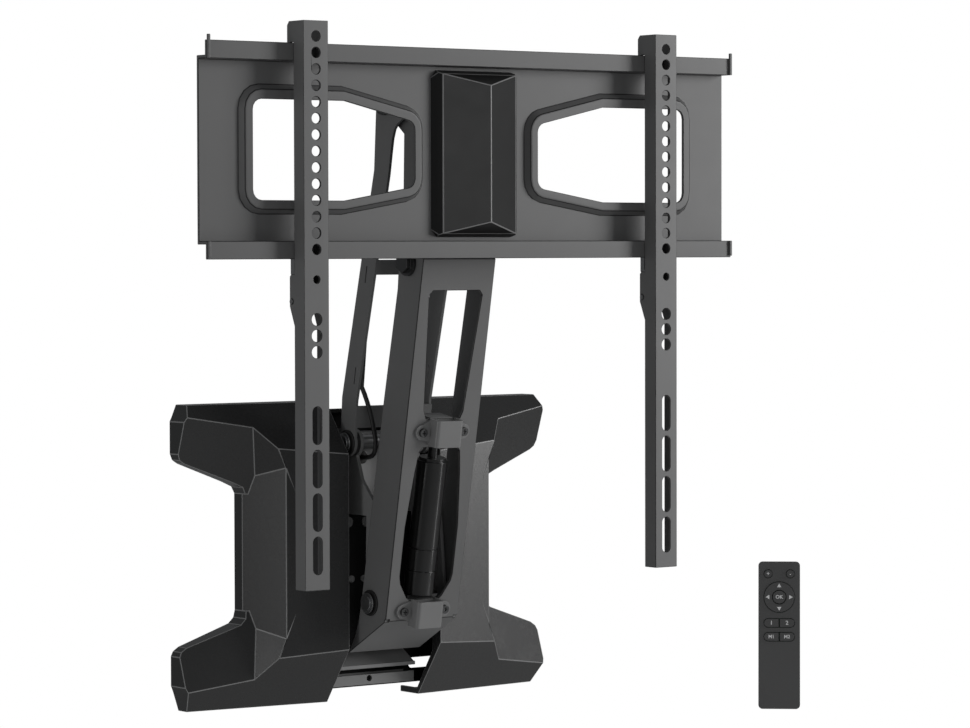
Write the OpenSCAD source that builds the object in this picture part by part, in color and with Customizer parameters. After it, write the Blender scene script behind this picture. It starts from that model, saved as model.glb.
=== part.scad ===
// Pull-down TV mount with a motor driven parallel linkage, millimetres, Z up.
// The wall face is the plane Y = 0 and the viewer stands on the minus Y side.

/* [Linkage] */
// depth of the front arm lower pivot from the wall
front_pivot_d = 73; // [72:0.25:74]
// height of the front arm lower pivot
front_pivot_z = -39; // [-40:0.5:-38]
// depth of the rear arm lower pivot from the wall
rear_pivot_d = 44; // [43:0.5:46]
// height of the rear arm lower pivot
rear_pivot_z = 90; // [88:0.5:92]
// how far the upper pivots stand ahead of the lower ones
arm_reach = 54; // [53:0.5:55]
// how far the upper pivots stand above the lower ones
arm_rise = 276; // [274:1:278]
// radius of the pivot shafts and bolts
pivot_r = 6; // [5:0.25:6.5]
// radial running clearance of every pivot
run_gap = 0.05; // [0.03:0.01:0.08]
// radial clearance of the upper rear pivot, the one that closes the loop
loop_gap = 0.3; // [0.2:0.05:0.5]

/* [Wall base] */
// half width of the wall plate
plate_half_w = 168; // [160:1:170]
// half height of the wall plate
plate_half_h = 116; // [112:1:118]
// thickness of the wall plate and the tray
plate_t = 3; // [2.5:0.25:3.5]
// radius of the wall fixing holes
wall_hole_r = 4.5; // [4:0.25:5]
// half spacing of the wall fixing holes sideways
wall_hole_x = 101.6; // [95:0.1:105]
// half spacing of the wall fixing holes in height
wall_hole_z = 76.2; // [72:0.1:78]
// half length of the two long fixing slots
wall_slot_l = 40; // [30:1:50]
// depth of the tray's front edge from the wall
tray_d = 22; // [20:0.5:24]
// half width of the tray and the bar below it
tray_half_w = 45.5; // [44:0.5:45.5]
// height of the tray's lower edge
tray_z = -99; // [-100:0.5:-97]
// how far the tray falls from the wall to its front edge
tray_fall = 10; // [6:0.5:14]
// height of the bottom bar's upper edge
bar_z = -104.3; // [-106:0.1:-103]
// height of the bottom bar's face
bar_h = 8.4; // [8:0.1:9]
// depth of the bottom bar's face from the wall
bar_d = 20; // [18:0.5:22]
// sheet thickness of the bottom bar
bar_t = 2; // [1.5:0.25:2.5]
// radius of the hole in the bottom bar
bar_hole_r = 2.6; // [2:0.1:3]
// outer face of the brackets from the middle
bracket_x = 32; // [31:0.25:32.5]
// thickness of the brackets
bracket_t = 3; // [2.5:0.25:4]
// radius of the bracket's ear around the front pivot
front_ear_r = 13; // [12:0.5:14]
// radius of the bracket's ear around the rear pivot
rear_ear_r = 11; // [10:0.5:12]

/* [Covers] */
// half width over both covers
cover_half_w = 181.5; // [178:0.5:186]
// half height of the covers
cover_half_h = 123.5; // [122:0.5:126]
// depth of a cover's inner front edge
cover_deep = 57.5; // [56:0.5:59]
// depth of a cover's outer front edge
cover_thin = 24; // [23:0.5:26]
// where the inner wall stands from the middle
cover_inner_x = 46; // [46:0.5:48]
// wall thickness of the covers
cover_t = 2.5; // [2:0.25:3]
// outer half width of the waist
waist_x = 120; // [119:0.5:122]
// depth of the waist's side wall
waist_d = 12; // [11:0.5:14]
// half distance between the ridges of the two covers
crease_x = 102.3; // [101:0.1:104]
// depth of the ridge
crease_d = 49.6; // [48:0.1:51]

/* [Control unit] */
// half width of the control box
box_half_w = 27; // [24:0.5:28]
// depth of the control box
box_d = 25; // [22:0.5:26]
// lower end of the control box
box_z0 = 31; // [28:0.5:40]
// upper end of the control box
box_z1 = 97; // [92:0.5:98]
// wall thickness of the control box
box_t = 2; // [1.5:0.25:2.5]
// sideways place of the power socket
socket_x = 2; // [-4:0.5:6]
// sideways place of the cable gland
gland_x = -17; // [-18:0.5:-14]
// height of the cable gland
gland_z = 77; // [75:0.5:78]
// radius of the cable gland
gland_r = 5.5; // [5:0.25:6.5]

/* [Front arm] */
// half width over the front arm
front_half_w = 36; // [35.5:0.25:37]
// sheet thickness of both arms
arm_t = 2.5; // [2:0.25:2.5]
// lean of the front arm's web from upright
web_lean = 10.4; // [10:0.1:10.8]
// distance from the lower pivot to the web's front face
web_off = 22.9; // [22:0.1:24]
// upper end of the web above the lower pivot
web_top = 288; // [285:1:290]
// radius of the rounded ends of the arms
ear_r = 13; // [12:0.5:13.5]

/* [Motor] */
// radius of the tubular motor
motor_r = 12.5; // [11:0.25:13]
// distance of the motor's axis behind the web's front face
motor_off = 8.5; // [8:0.1:9.5]
// lower end of the gear head above the pivot
head_z0 = 10.5; // [10.5:0.25:11]
// joint between gear head and motor
head_z1 = 49.5; // [46:0.5:52]
// upper end of the motor tube
tube_z1 = 121; // [118:1:123]
// radius of the motor's end stub
stub_r = 4; // [3.5:0.25:4.5]
// pitch radius of the worm
worm_r = 4.9; // [4.8:0.1:5]
// teeth of the worm wheel
wheel_teeth = 19; // [18:1:19]
// width of the worm wheel
wheel_w = 9; // [8:0.5:10]

/* [Saddles] */
// half width of a saddle's hump
hump_half_w = 13; // [12.5:0.25:14]
// how far a hump stands in front of the web
hump_d = 12; // [11:0.5:13]
// sheet thickness of the saddles
saddle_t = 2; // [1.5:0.25:2.5]
// height of a saddle
saddle_h = 22; // [21:0.5:23]
// half distance between a saddle's screws
saddle_screw_x = 20.3; // [19.5:0.1:21]
// lower edge of the upper saddle above the pivot
saddle_up_z = 135.5; // [134.5:0.5:136]
// lower edge of the lower saddle from the pivot
saddle_low_z = -14.5; // [-15:0.5:-14]

/* [Rear arm] */
// half width over the rear arm
rear_half_w = 38; // [37.5:0.25:38.5]
// half width of the rear arm's side strips
strip_half = 10; // [9:0.25:10.5]
// radius of the lead along the rear arm
cable_r = 1.9; // [1.5:0.1:2.1]

/* [Head] */
// outer face of the head's side plates from the middle
head_x = 32; // [31.5:0.25:32.5]
// sheet thickness of the head
head_t = 2.5; // [2:0.25:3]
// depth of the head's front face from the wall
head_front_d = 146; // [145:0.5:147]
// radius of the vertical swivel pin
swivel_r = 4; // [3.5:0.25:4.5]
// depth of the swivel pin's axis from the wall
swivel_d = 155; // [154.5:0.25:155.5]
// radius of the swivel lugs
lug_r = 7.5; // [7:0.25:8]
// thickness of one swivel lug
lug_t = 4; // [3:0.5:5]
// gear radius fixed to the head around the swivel pin
sector_r = 16; // [16:1:16]

/* [TV plate] */
// half width of the TV plate
tv_half_w = 259; // [250:1:270]
// height of the TV plate's middle above the base's middle
tv_z = 323; // [322:0.5:324]
// half height of the TV plate's web
tv_half_h = 71.3; // [70:0.1:72]
// depth of the TV plate's front face from the wall
tv_d = 166; // [166:0.25:166.5]
// sheet thickness of the TV plate
tv_t = 2.5; // [2:0.25:2.5]
// how far the plate's edges are bent forward
lip_d = 11.5; // [11:0.25:12]
// height of the plate's hanging edges
lip_h = 11.3; // [10.5:0.1:12]
// inner side of the plate's windows from the middle
win_in = 61; // [60:0.5:64]
// outer side of the plate's windows from the middle
win_out = 213; // [205:0.5:216]
// upper side of the windows above the plate's middle
win_up = 39.5; // [38:0.5:41]
// lower side of the windows below the plate's middle
win_low = 37.5; // [36:0.5:40]
// width of the raised rim around the windows
press_w = 10.5; // [9:0.5:12]
// how far the rim stands out of the plate
press_d = 5; // [4:0.25:5.5]

/* [Centre cover] */
// half width of the centre cover
dome_half_w = 43; // [42:0.5:44]
// half height of the centre cover
dome_half_h = 66; // [64:0.5:68]
// height of the ridge in front of the TV plate
dome_d = 23.5; // [22:0.5:25]
// wall thickness of the centre cover
dome_t = 2; // [1.5:0.25:2.5]

/* [Rails] */
// width of a rail
rail_w = 22.6; // [21:0.2:24]
// depth of a rail's sides
rail_d = 14; // [13:0.25:14.5]
// Depth of a rail's right side between its hook and its latch
rail_side = 9.5; // [8:0.25:13]
// length of a rail
rail_l_len = 435.6; // [430:0.2:440]
// upper end of the rails above the base's middle
rail_top = 422.2; // [420:0.2:424]
// sheet thickness of a rail
rail_t = 2; // [1.5:0.1:2]
// left edge of the left rail
rail_left_x = -180.5; // [-200:0.5:-150]
// left edge of the right rail
rail_right_x = 165.9; // [120:0.5:200]
// hole pitch along the rails
hole_pitch = 12.5; // [12:0.1:13]
// radius of the small holes in the rails
hole_r = 4; // [3.5:0.1:4.3]
// radius of the large holes in the rails
big_r = 4.6; // [4.4:0.1:5]
// half width of the long slots in the rails
slot_r = 4.2; // [3.8:0.1:4.4]
// length of the long slots in the rails
slot_l = 28.9; // [26:0.2:30]

/* [Remote control] */
// width of the remote control
remote_w = 35.2; // [34:0.2:38]
// length of the remote control
remote_l = 124.8; // [120:0.2:130]
// thickness of the remote control
remote_t = 11; // [10:0.5:13]
// gap around the keys
key_gap = 0.25; // [0.2:0.05:0.4]
// how far the keys stand out
key_out = 0.9; // [0.6:0.1:1.2]

/* [Hidden] */
$fn = 48;
over = 1;
eps = 0.01;
A = [-front_pivot_d, front_pivot_z];
B = [-rear_pivot_d, rear_pivot_z];
AU = [-front_pivot_d - arm_reach, front_pivot_z + arm_rise];
BU = [-rear_pivot_d - arm_reach, rear_pivot_z + arm_rise];
pin_lean = atan2(arm_reach, arm_rise);
arm_len = sqrt(arm_reach * arm_reach + arm_rise * arm_rise);
// upper pivot in the frame of the front arm's web
au_y = -arm_len * sin(pin_lean - web_lean);
au_z = arm_len * cos(pin_lean - web_lean);
bush_r = pivot_r + 2;
bush_f = 1.5;
bush_flange_r = bush_r + 2.6;
shaft_front_l = front_half_w + bush_f + 3.6;
shaft_rear_l = rear_half_w + bush_f + 3.6;
clip_t = 1.2;
clip_r = pivot_r + 2.4;
groove_r = pivot_r - 0.8;
motor_y = -web_off + motor_off;
wheel_c = web_off - motor_off;
wheel_r = wheel_c - worm_r;
wheel_out = wheel_r + 0.7;
wheel_root = wheel_r - 0.9;
box_wall = 2.2;
board_y = -plate_t - box_t - 4.6;
low_screw_z = saddle_low_z + saddle_h / 2 + 1.5;
up_screw_z = saddle_up_z + saddle_h / 2;
swivel_y = -swivel_d;
slide_gap = 0.3;
rail_y = -tv_d - lip_d - slide_gap - rail_d;
remote_c = [323, -166, -80.6];
remote_turn = -41.4;
remote_tip = 5.8;
steel_grey = [0.36, 0.37, 0.39];
dark_grey = [0.2, 0.2, 0.21];
bright = [0.75, 0.75, 0.77];
black = [0.06, 0.06, 0.07];
light_grey = [0.5, 0.51, 0.53];

// Small building helpers
module box3(a, b) translate(a) cube(b - a);
module x_rod(y, z, r, x0, l) translate([x0, y, z]) rotate([0, 90, 0]) cylinder(h = l, r = r);
module y_rod(x, z, r, y0, l) translate([x, y0, z]) rotate([-90, 0, 0]) cylinder(h = l, r = r);
module z_rod(x, y, r, z0, l) translate([x, y, z0]) cylinder(h = l, r = r);
module side_sheet(pts, x0, t) translate([x0, 0, 0]) rotate([90, 0, 90]) linear_extrude(t) polygon(pts);
module front_sheet(pts, y0, t) translate([0, y0 + t, 0]) rotate([90, 0, 0]) linear_extrude(t) polygon(pts);
module plan_sheet(pts, z0, t) translate([0, 0, z0]) linear_extrude(t) polygon(pts);
module both() { children(); mirror([1, 0, 0]) children(); }
module on_arm() translate([0, A[0], A[1]]) rotate([web_lean, 0, 0]) children();
module on_rear() translate([0, B[0], B[1]]) rotate([pin_lean, 0, 0]) children();
// a slot with round ends that runs along Y, long side along Z
module slot_z(x, z, r, l, y0, d) {
  half = l / 2 - r;
  box3([x - r, y0, z - half], [x + r, y0 + d, z + half]);
  for (s = [-1, 1]) y_rod(x, z + s * half, r, y0, d);
}
// a slot with round ends that runs along Y, long side along X
module slot_x(x, z, r, l, y0, d) {
  half = l / 2 - r;
  box3([x - half, y0, z - r], [x + half, y0 + d, z + r]);
  for (s = [-1, 1]) y_rod(x + s * half, z, r, y0, d);
}

// Wall plate with its top lip and the tray
module wall_plate() {
  lip = 12;
  pass_holes = [[9, 21.5, 4.5], [6, -26, 3]];
  slot_z0 = 100;
  slot_x0 = 92;
  lip_t = 2;
  tray_top = tray_z + plate_t + tray_fall;
  waist = waist_x - cover_t - 1;
  half = [[plate_half_w, plate_half_h], [plate_half_w, 84], [waist + 5, 66], [waist, 56], [waist, -52], [waist + 5, -62],
    [plate_half_w, -79],
    [plate_half_w, -plate_half_h]];
  outline = concat(half, [for (i = [len(half) - 1 : -1 : 0]) [-half[i][0], half[i][1]]]);
  color(steel_grey) {
    difference() {
      front_sheet(outline, -plate_t, plate_t);
      for (sx = [-1, 1]) for (sz = [-1, 1]) {
        y_rod(sx * wall_hole_x, sz * wall_hole_z, wall_hole_r, -plate_t - over, plate_t + 2 * over);
        slot_x(sx * slot_x0, sz * slot_z0, wall_hole_r, 2 * wall_slot_l, -plate_t - over, plate_t + 2 * over);
      }
      for (h = pass_holes) both() y_rod(h[0], h[1], h[2], -plate_t - over, plate_t + 2 * over);
      both() for (p = boss_pts) {
        y_rod(p[0], p[1], boss_bore + play, -plate_t - over, plate_t + 2 * over);
        y_rod(p[0], p[1], screw_head_r + play, -sink_d, sink_d + over);
      }
    }
    box3([-plate_half_w, -lip, plate_half_h - plate_t], [plate_half_w, -plate_t + eps, plate_half_h]);
    side_sheet([[-plate_t + eps, tray_top], [lip_t - tray_d, tray_z + plate_t], [-tray_d, tray_z + plate_t],
      [-tray_d, tray_z], [lip_t - tray_d, tray_z], [-plate_t + eps, tray_top - plate_t]], -tray_half_w, 2 * tray_half_w);
  }
}

// Folded bar below the tray
module bottom_bar() {
  low = bar_z - bar_h;
  color(light_grey) difference() {
    union() {
      box3([-tray_half_w, -bar_d, low], [tray_half_w, -bar_d + bar_t, bar_z]);
      box3([-tray_half_w, -bar_d, low], [tray_half_w, -plate_t, low + bar_t]);
      box3([-tray_half_w, -plate_t - bar_t, low], [tray_half_w, -plate_t, bar_z]);
    }
    y_rod(0, low + bar_h / 2 + bar_t / 2, bar_hole_r, -bar_d - over, bar_t + 2 * over);
  }
}

// Upright bracket that carries both lower pivots, drawn for the right side
module bracket_shape() {
  top = B[1] + 10;
  foot = 31;
  foot_t = 14;
  hole_z = 62;
  hole_y = -26;
  hole_r2 = 9;
  ear_drop = 10.3;
  ear_in = 3.7;
  wall_y = -plate_t;
  pts = [[wall_y, top], [B[0], top + 1], [B[0] - ear_in, B[1] - ear_drop], [-55, 60], [-78, 36],
    [A[0] - front_ear_r, A[1]], [A[0] + front_ear_r, A[1]], [-62, foot], [wall_y, foot]];
  difference() {
    union() {
      side_sheet(pts, bracket_x - bracket_t, bracket_t);
      x_rod(A[0], A[1], front_ear_r, bracket_x - bracket_t, bracket_t);
      x_rod(B[0], B[1], rear_ear_r, bracket_x - bracket_t, bracket_t);
      box3([bracket_x - eps, wall_y - bracket_t, foot], [bracket_x + foot_t, wall_y, top]);
      box3([bracket_x - bracket_t, wall_y - bracket_t, foot], [bracket_x, wall_y, top]);
    }
    x_rod(A[0], A[1], pivot_r, bracket_x - bracket_t - over, bracket_t + 2 * over);
    x_rod(B[0], B[1], pivot_r, bracket_x - bracket_t - over, bracket_t + 2 * over);
    x_rod(hole_y, hole_z, hole_r2, bracket_x - bracket_t - over, bracket_t + 2 * over);
  }
}
module bracket_r() color(light_grey) bracket_shape();
module bracket_l() color(light_grey) mirror([1, 0, 0]) bracket_shape();

// A pivot shaft with a groove near each end
module grooved_shaft(c, half) {
  groove = half - clip_t - over;
  difference() {
    x_rod(c[0], c[1], pivot_r, -half, 2 * half);
    both() difference() {
      x_rod(c[0], c[1], pivot_r + over, groove, clip_t);
      x_rod(c[0], c[1], groove_r, groove - over, clip_t + 2 * over);
    }
  }
}
module front_shaft() color(bright) grooved_shaft(A, shaft_front_l);
module rear_shaft() color(bright) grooved_shaft(B, shaft_rear_l);

// Retaining rings in the grooves of both shafts
module shaft_clips() color(bright) {
  for (p = [[A, shaft_front_l], [B, shaft_rear_l]]) both() difference() {
    x_rod(p[0][0], p[0][1], clip_r, p[1] - clip_t - over, clip_t);
    x_rod(p[0][0], p[0][1], groove_r, p[1] - clip_t - 2 * over, clip_t + 2 * over);
  }
}

// All that lies towards the wall from the plane through three points, set back by t
module behind(pts, t) {
  far = 3 * cover_half_w;
  c = cross(pts[1] - pts[0], pts[2] - pts[0]);
  n = c / norm(c) * (c[1] < 0 ? -1 : 1);
  translate(pts[0]) rotate([asin(n[2]), 0, atan2(-n[0], n[1])]) translate([-far / 2, t, -far / 2]) cube(far);
}
// Corner points of a half cover, upper and lower ones
tip_x = 178;
cover_top = [[cover_inner_x, 1 - cover_deep, 83], [cover_inner_x, -26, 122.5], [tip_x, -cover_thin, 113.5]];
cover_low = [[cover_inner_x, 1.5 - cover_deep, -80], [cover_inner_x, -26, -122.5], [tip_x + 0.5, -cover_thin, -106.6]];
arm_top = [cover_top[2], [134, -22, 76], [116, -36, 103.4]];
arm_low = [cover_low[2], [134, -22, -69], [116, -36, -96.5]];
bend_top = [[crease_x, -crease_d, 72], [waist_x, -waist_d, 62], [116, -43, 97]];
bend_low = [[crease_x, -crease_d, -66], [waist_x, -waist_d, -56], [116, -43, -91]];
// Solid shape of a half cover, drawn for the right side, shrunk inwards by t
module cover_solid(t) {
  hw = cover_half_w - t;
  hh = cover_half_h - t;
  ix = cover_inner_x + t;
  wx = waist_x - t;
  fall = (cover_deep - crease_d) / (crease_x - cover_inner_x);
  face_share = 1.01;
  ridge_share = [0.676, 0.915];
  rim_share = 0.223;
  face_d = cover_deep - (face_share + fall) * t;
  over_t = t > 0 ? over : 0;
  ridge = [crease_x - ridge_share[0] * t, ridge_share[1] * t - crease_d];
  core = [[ix, over_t], [ix, -face_d], ridge, [wx, rim_share * t - waist_d], [wx, over_t]];
  face = [[ix, over_t], [ix, -face_d], [hw, (hw - ix) * fall - face_d], [hw, over_t]];
  up = [[ix, hh], [hw - 6, hh], [hw - 2, 114 - t], [hw, 110 - t], [hw, 84 + t], [hw - 2, 79 + t], [hw - 6.5, 76 + t],
    [wx + 13, 60 + t], [wx + 3, 55.5 + t], [wx, 50 + t], [ix, 50 + t]];
  down = [[ix, -hh], [hw - 7, -hh], [hw - 2, t - 108], [hw, t - 103], [hw, -79 - t], [hw - 2, -75 - t], [hw - 7, -71.7 - t],
    [wx + 6.4, -55.7 - t], [wx + 1.5, -51 - t], [wx, -45 - t], [ix, -45 - t]];
  intersection() {
    union() {
      plan_sheet(core, -hh, 2 * hh);
      for (e = [[up, arm_top, bend_top], [down, arm_low, bend_low]]) intersection() {
        front_sheet(e[0], -cover_deep - over, cover_deep + over + over_t);
        plan_sheet(face, -hh - over, 2 * hh + 2 * over);
        union() {
          behind(e[1], t);
          behind(e[2], t);
        }
      }
    }
    behind(cover_top, t);
    behind(cover_low, t);
    box3([0, -cover_deep - over, -hh], [cover_half_w + over, over_t, hh]);
  }
}
// Half cover as a shell that is open at the wall and beside the arms, with its screw bosses
boss_r = 5;
boss_bore = 1.9;
boss_len = 18;
boss_pts = [[150, 96], [150, -96]];
play = 0.3;
sink_d = 2.2;
screw_head_r = 3.4;
module cover_shape() {
  rim_d = 12;
  inner_free = cover_inner_x - over;
  lip = 2 * cover_t;
  free_h = cover_half_h - lip;
  free = [[over, free_h], [cover_top[1][1] + lip / 2, free_h], [rim_d - cover_deep, cover_top[0][2] + lip],
    [rim_d - cover_deep, cover_low[0][2] - lip], [cover_low[1][1] + lip / 2, -free_h], [over, -free_h]];
  difference() {
    cover_solid(0);
    cover_solid(cover_t);
    side_sheet(free, inner_free, cover_t + 2 * over);
  }
  for (p = boss_pts) difference() {
    intersection() {
      y_rod(p[0], p[1], boss_r, -cover_deep, cover_deep - plate_t);
      cover_solid(cover_t / 2);
    }
    y_rod(p[0], p[1], boss_bore, -boss_len, boss_len + over);
  }
}
module cover_r() color(dark_grey) cover_shape();
module cover_l() color(dark_grey) mirror([1, 0, 0]) cover_shape();

// Control unit between the brackets
module control_box() {
  front = -plate_t - box_d + box_t;
  socket_r = 5.5;
  color(light_grey) difference() {
    box3([-box_half_w, front, box_z0], [box_half_w, -plate_t, box_z1]);
    box3([box_t - box_half_w, front - over, box_z0 + box_t], [box_half_w - box_t, -plate_t - box_t, box_z1 - box_t]);
    z_rod(socket_x, front + box_d / 2 - 1.5, socket_r, box_z0 - over, box_t + 2 * over);
  }
}
lid_screw_r = 1.5;
module control_lid() {
  front = -plate_t - box_d;
  lid_in = 3;
  seam = 3;
  color(light_grey) difference() {
    box3([-box_half_w, front, box_z0], [box_half_w, front + box_t, box_z1]);
    for (sx = [-1, 1]) for (z = [box_z0 + lid_in + box_t, box_z1 - lid_in - box_t])
      y_rod(sx * (box_half_w - lid_in - box_t), z, lid_screw_r, front - over, box_t + 2 * over);
    y_rod(gland_x, gland_z, gland_r - 1.4, front - over, box_t + 2 * over);
    box3([-box_half_w - over, front - over, box_z1 - 3 * seam - over / 2], [box_half_w + over, front + over / 2, box_z1 - 3 * seam]);
  }
}
module circuit_board() {
  inset = 3;
  board_t = 1.6;
  chip = 7;
  chip_h = 3;
  y0 = board_y;
  color([0.1, 0.35, 0.18]) {
    box3([box_t + inset - box_half_w, y0, box_z0 + 4 * inset], [box_half_w - box_t - inset, y0 + board_t, box_z1 - box_t - inset]);
    for (s = [-1, 1]) box3([s * chip - chip / 2, y0 - chip_h, box_z0 + 8 * inset], [s * chip + chip / 2, y0 + eps, box_z0 + 8 * inset + 2 * chip]);
    for (s = [-1, 1]) z_rod(s * chip, y0 - chip_h, chip_h - eps, box_z1 - 8 * inset, 2 * chip_h);
    for (s = [-1, 1]) box3([s * (box_half_w - box_t - inset) - inset / 2, y0 + board_t - eps, box_z0 + 4 * inset], [s * (box_half_w - box_t - inset) + inset / 2, -plate_t - box_t, box_z0 + 5 * inset]);
  }
}
module cable_gland() {
  y0 = -plate_t - box_d;
  nose = 7;
  ring = 2;
  color(black) difference() {
    union() {
      y_rod(gland_x, gland_z, gland_r, y0 - nose, nose);
      y_rod(gland_x, gland_z, gland_r - 1.5, y0 - eps, box_t + ring);
    }
    y_rod(gland_x, gland_z, cable_r + play, y0 - nose - over, nose + box_t + 2 * ring);
  }
}
module power_socket() {
  c = [socket_x, -plate_t - box_d / 2 + box_t / 2 - 0.5];
  outer = 5.3;
  inner = 3.2;
  pin_r = 1;
  depth = 11;
  flange = 6.6;
  flange_t = 1.2;
  color(black) {
    difference() {
      union() {
        z_rod(c[0], c[1], outer, box_z0 - over, depth);
        z_rod(c[0], c[1], flange, box_z0 - flange_t, flange_t);
      }
      z_rod(c[0], c[1], inner, box_z0 - flange_t - over, depth - over);
    }
    z_rod(c[0], c[1], pin_r, box_z0, depth - 2 * over);
  }
}
module cover_screws() {
  head_t = 2;
  shank = 15;
  slot = 0.8;
  color(bright) both() for (p = boss_pts) difference() {
    union() {
      y_rod(p[0], p[1], boss_bore, -sink_d - shank, shank + eps);
      y_rod(p[0], p[1], screw_head_r, -sink_d, head_t);
    }
    box3([p[0] - screw_head_r - over, head_t - sink_d - slot, p[1] - slot / 2],
      [p[0] + screw_head_r + over, head_t - sink_d + over, p[1] + slot / 2]);
  }
}

// Toothed disc as a plain polygon with n teeth
function tooth_pts(n, ro, ri, turn) = [for (i = [0 : n - 1]) for (k = [0 : 3])
  let (a = turn + (i + [-0.3, -0.14, 0.14, 0.3][k]) * 360 / n, r = [ri, ro, ro, ri][k]) [r * cos(a), r * sin(a)]];

// Wheel keyed on the front shaft, it stays still while the arm climbs around it
module worm_wheel() color([0.72, 0.6, 0.3]) difference() {
  side_sheet([for (p = tooth_pts(wheel_teeth, wheel_out, wheel_root, web_lean + 180)) p + A], -wheel_w / 2, wheel_w);
  x_rod(A[0], A[1], pivot_r, -wheel_w / 2 - over, wheel_w + 2 * over);
}

// Front arm, drawn in the frame of its web with the lower pivot at the origin
dog_z = -10;
dog_end = [23.2, -48.4];
dog_len = sqrt(pow(dog_end[0] + web_off, 2) + pow(dog_end[1] - dog_z, 2));
dog_n = [(dog_z - dog_end[1]) / dog_len, (dog_end[0] + web_off) / dog_len] * arm_t;
flange_back = [[17, -32], [14, -18], [13, 0], [12.5, 27], [11, 166], [8, 258]];
// height and half width pairs of the two windows
window_low = [[7, 15], [9, 17.5], [21, 25], [27, 26.3], [68, 26.3], [113, 22.4], [130, 20.2], [133.5, 17]];
window_up = [[157, 16.8], [164, 19.7], [258, 26.5], [262, 23]];
module arm_window(w) {
  right = [for (q = w) [q[1], q[0]]];
  left = [for (i = [len(w) - 1 : -1 : 0]) [-w[i][1], w[i][0]]];
  front_sheet(concat(right, left), -web_off - arm_t, 3 * arm_t);
}
module front_arm() {
  w = front_half_w;
  flange = concat([[-web_off, dog_z], dog_end], flange_back, [[au_y + ear_r, au_z - 6], [au_y + ear_r, au_z],
    [au_y + ear_r / 2, au_z + ear_r - 2], [-web_off, web_top]]);
  screw_r = 1.6;
  relief_r = 1.6;
  color(steel_grey) on_arm() difference() {
    union() {
      box3([-w, -web_off, dog_z], [w, arm_t - web_off, web_top]);
      both() side_sheet(flange, w - arm_t, arm_t);
      side_sheet([[-web_off, dog_z], dog_end, dog_end + dog_n, [-web_off, dog_z] + dog_n, [arm_t - web_off, dog_z + arm_t]], -w, 2 * w);
      both() x_rod(0, 0, ear_r, w - arm_t, arm_t);
      both() x_rod(au_y, au_z, ear_r, w - arm_t, arm_t);
    }
    arm_window(window_low);
    arm_window(window_up);
    x_rod(0, 0, bush_r, -w - over, 2 * w + 2 * over);
    x_rod(au_y, au_z, bush_r, -w - over, 2 * w + 2 * over);
    for (s = [-1, 1]) for (z = [up_screw_z, low_screw_z]) y_rod(s * saddle_screw_x, z, screw_r, -web_off - over, arm_t + 2 * over);
    for (s = [-1, 1]) x_rod(-web_off, dog_z, relief_r, s * (w - arm_t / 2) - arm_t, 2 * arm_t);
  }
}

// Flanged plain bushes at both ends of the front arm
module bush(y, z, x, t, inner, outer) {
  difference() {
    union() {
      x_rod(y, z, bush_r - eps, x - inner, t + inner + outer);
      x_rod(y, z, bush_flange_r, x - inner, inner - eps);
      x_rod(y, z, bush_flange_r, x + t + eps, outer - eps);
    }
    x_rod(y, z, pivot_r + run_gap, x - inner - over, t + inner + outer + 2 * over);
  }
}
module front_bushes() {
  inner = front_half_w - arm_t - bracket_x - eps;
  color(black) on_arm() both() {
    bush(0, 0, front_half_w - arm_t, arm_t, inner, bush_f);
    bush(au_y, au_z, front_half_w - arm_t, arm_t, inner, bush_f);
  }
}

// Tubular gear motor along the arm
module motor_tube() {
  cap_t = 2.5;
  cap_in = 1.5;
  stub_l = saddle_up_z + saddle_h - 9 - tube_z1 - cap_t;
  neck = 0.6;
  color(dark_grey) on_arm() {
    z_rod(0, motor_y, motor_r, head_z1, tube_z1 - head_z1);
    z_rod(0, motor_y, motor_r - cap_in, tube_z1 - eps, cap_t + eps);
    z_rod(0, motor_y, stub_r, tube_z1 + cap_t - eps, stub_l);
    z_rod(0, motor_y, motor_r - neck, head_z1 - 2 * neck, 2 * neck + eps);
  }
}
module gear_head() {
  ring = 0.6;
  seam = 30;
  out_r = 2.5;
  color(steel_grey) on_arm() {
    z_rod(0, motor_y, motor_r, head_z0, seam - head_z0);
    z_rod(0, motor_y, motor_r - ring, seam - eps, 2 * ring);
    z_rod(0, motor_y, motor_r, seam + ring, head_z1 - 2 * ring - seam - ring);
    z_rod(0, motor_y, out_r, head_z0 - wheel_c / 3, wheel_c / 3 + eps);
  }
}
// Thread of the single-start worm, swept around its axis
module worm_thread(core, tip, w, pitch, first, last, mid) {
  steps = 20;
  n = round((last - first) * steps);
  pts = [for (i = [0 : n]) let (t = first + i / steps, a = 90 - 360 * t, z = mid + t * pitch)
    for (q = [[core, -w * 0.7], [tip, -w / 2], [tip, w / 2], [core, w * 0.7]]) [q[0] * cos(a), q[0] * sin(a), z + q[1]]];
  walls = [for (i = [0 : n - 1]) for (k = [0 : 3]) let (a = 4 * i + k, b = 4 * i + (k + 1) % 4)
    for (f = [[a, a + 4, b], [b, a + 4, b + 4]]) f];
  polyhedron(points = pts, faces = concat([[0, 1, 2, 3]], walls, [[4 * n + 3, 4 * n + 2, 4 * n + 1, 4 * n]]));
}
// Turning worm on the gear motor's output shaft
module worm() {
  z0 = -8;
  z1 = 9.5;
  core_r = worm_r - 1.1;
  thread_w = 1;
  pitch = 2 * PI * wheel_r / wheel_teeth;
  turns = [-2, 2.2];
  bore = 2.55;
  bore_l = 6;
  color([0.62, 0.62, 0.64]) on_arm() {
    difference() {
      z_rod(0, motor_y, core_r, z0, z1 - z0);
      z_rod(0, motor_y, bore, z1 - bore_l, bore_l + over);
    }
    translate([0, motor_y, 0]) worm_thread(core_r - 0.5, worm_r + 0.35, thread_w, pitch, turns[0], turns[1], pitch / 2);
  }
}
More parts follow.
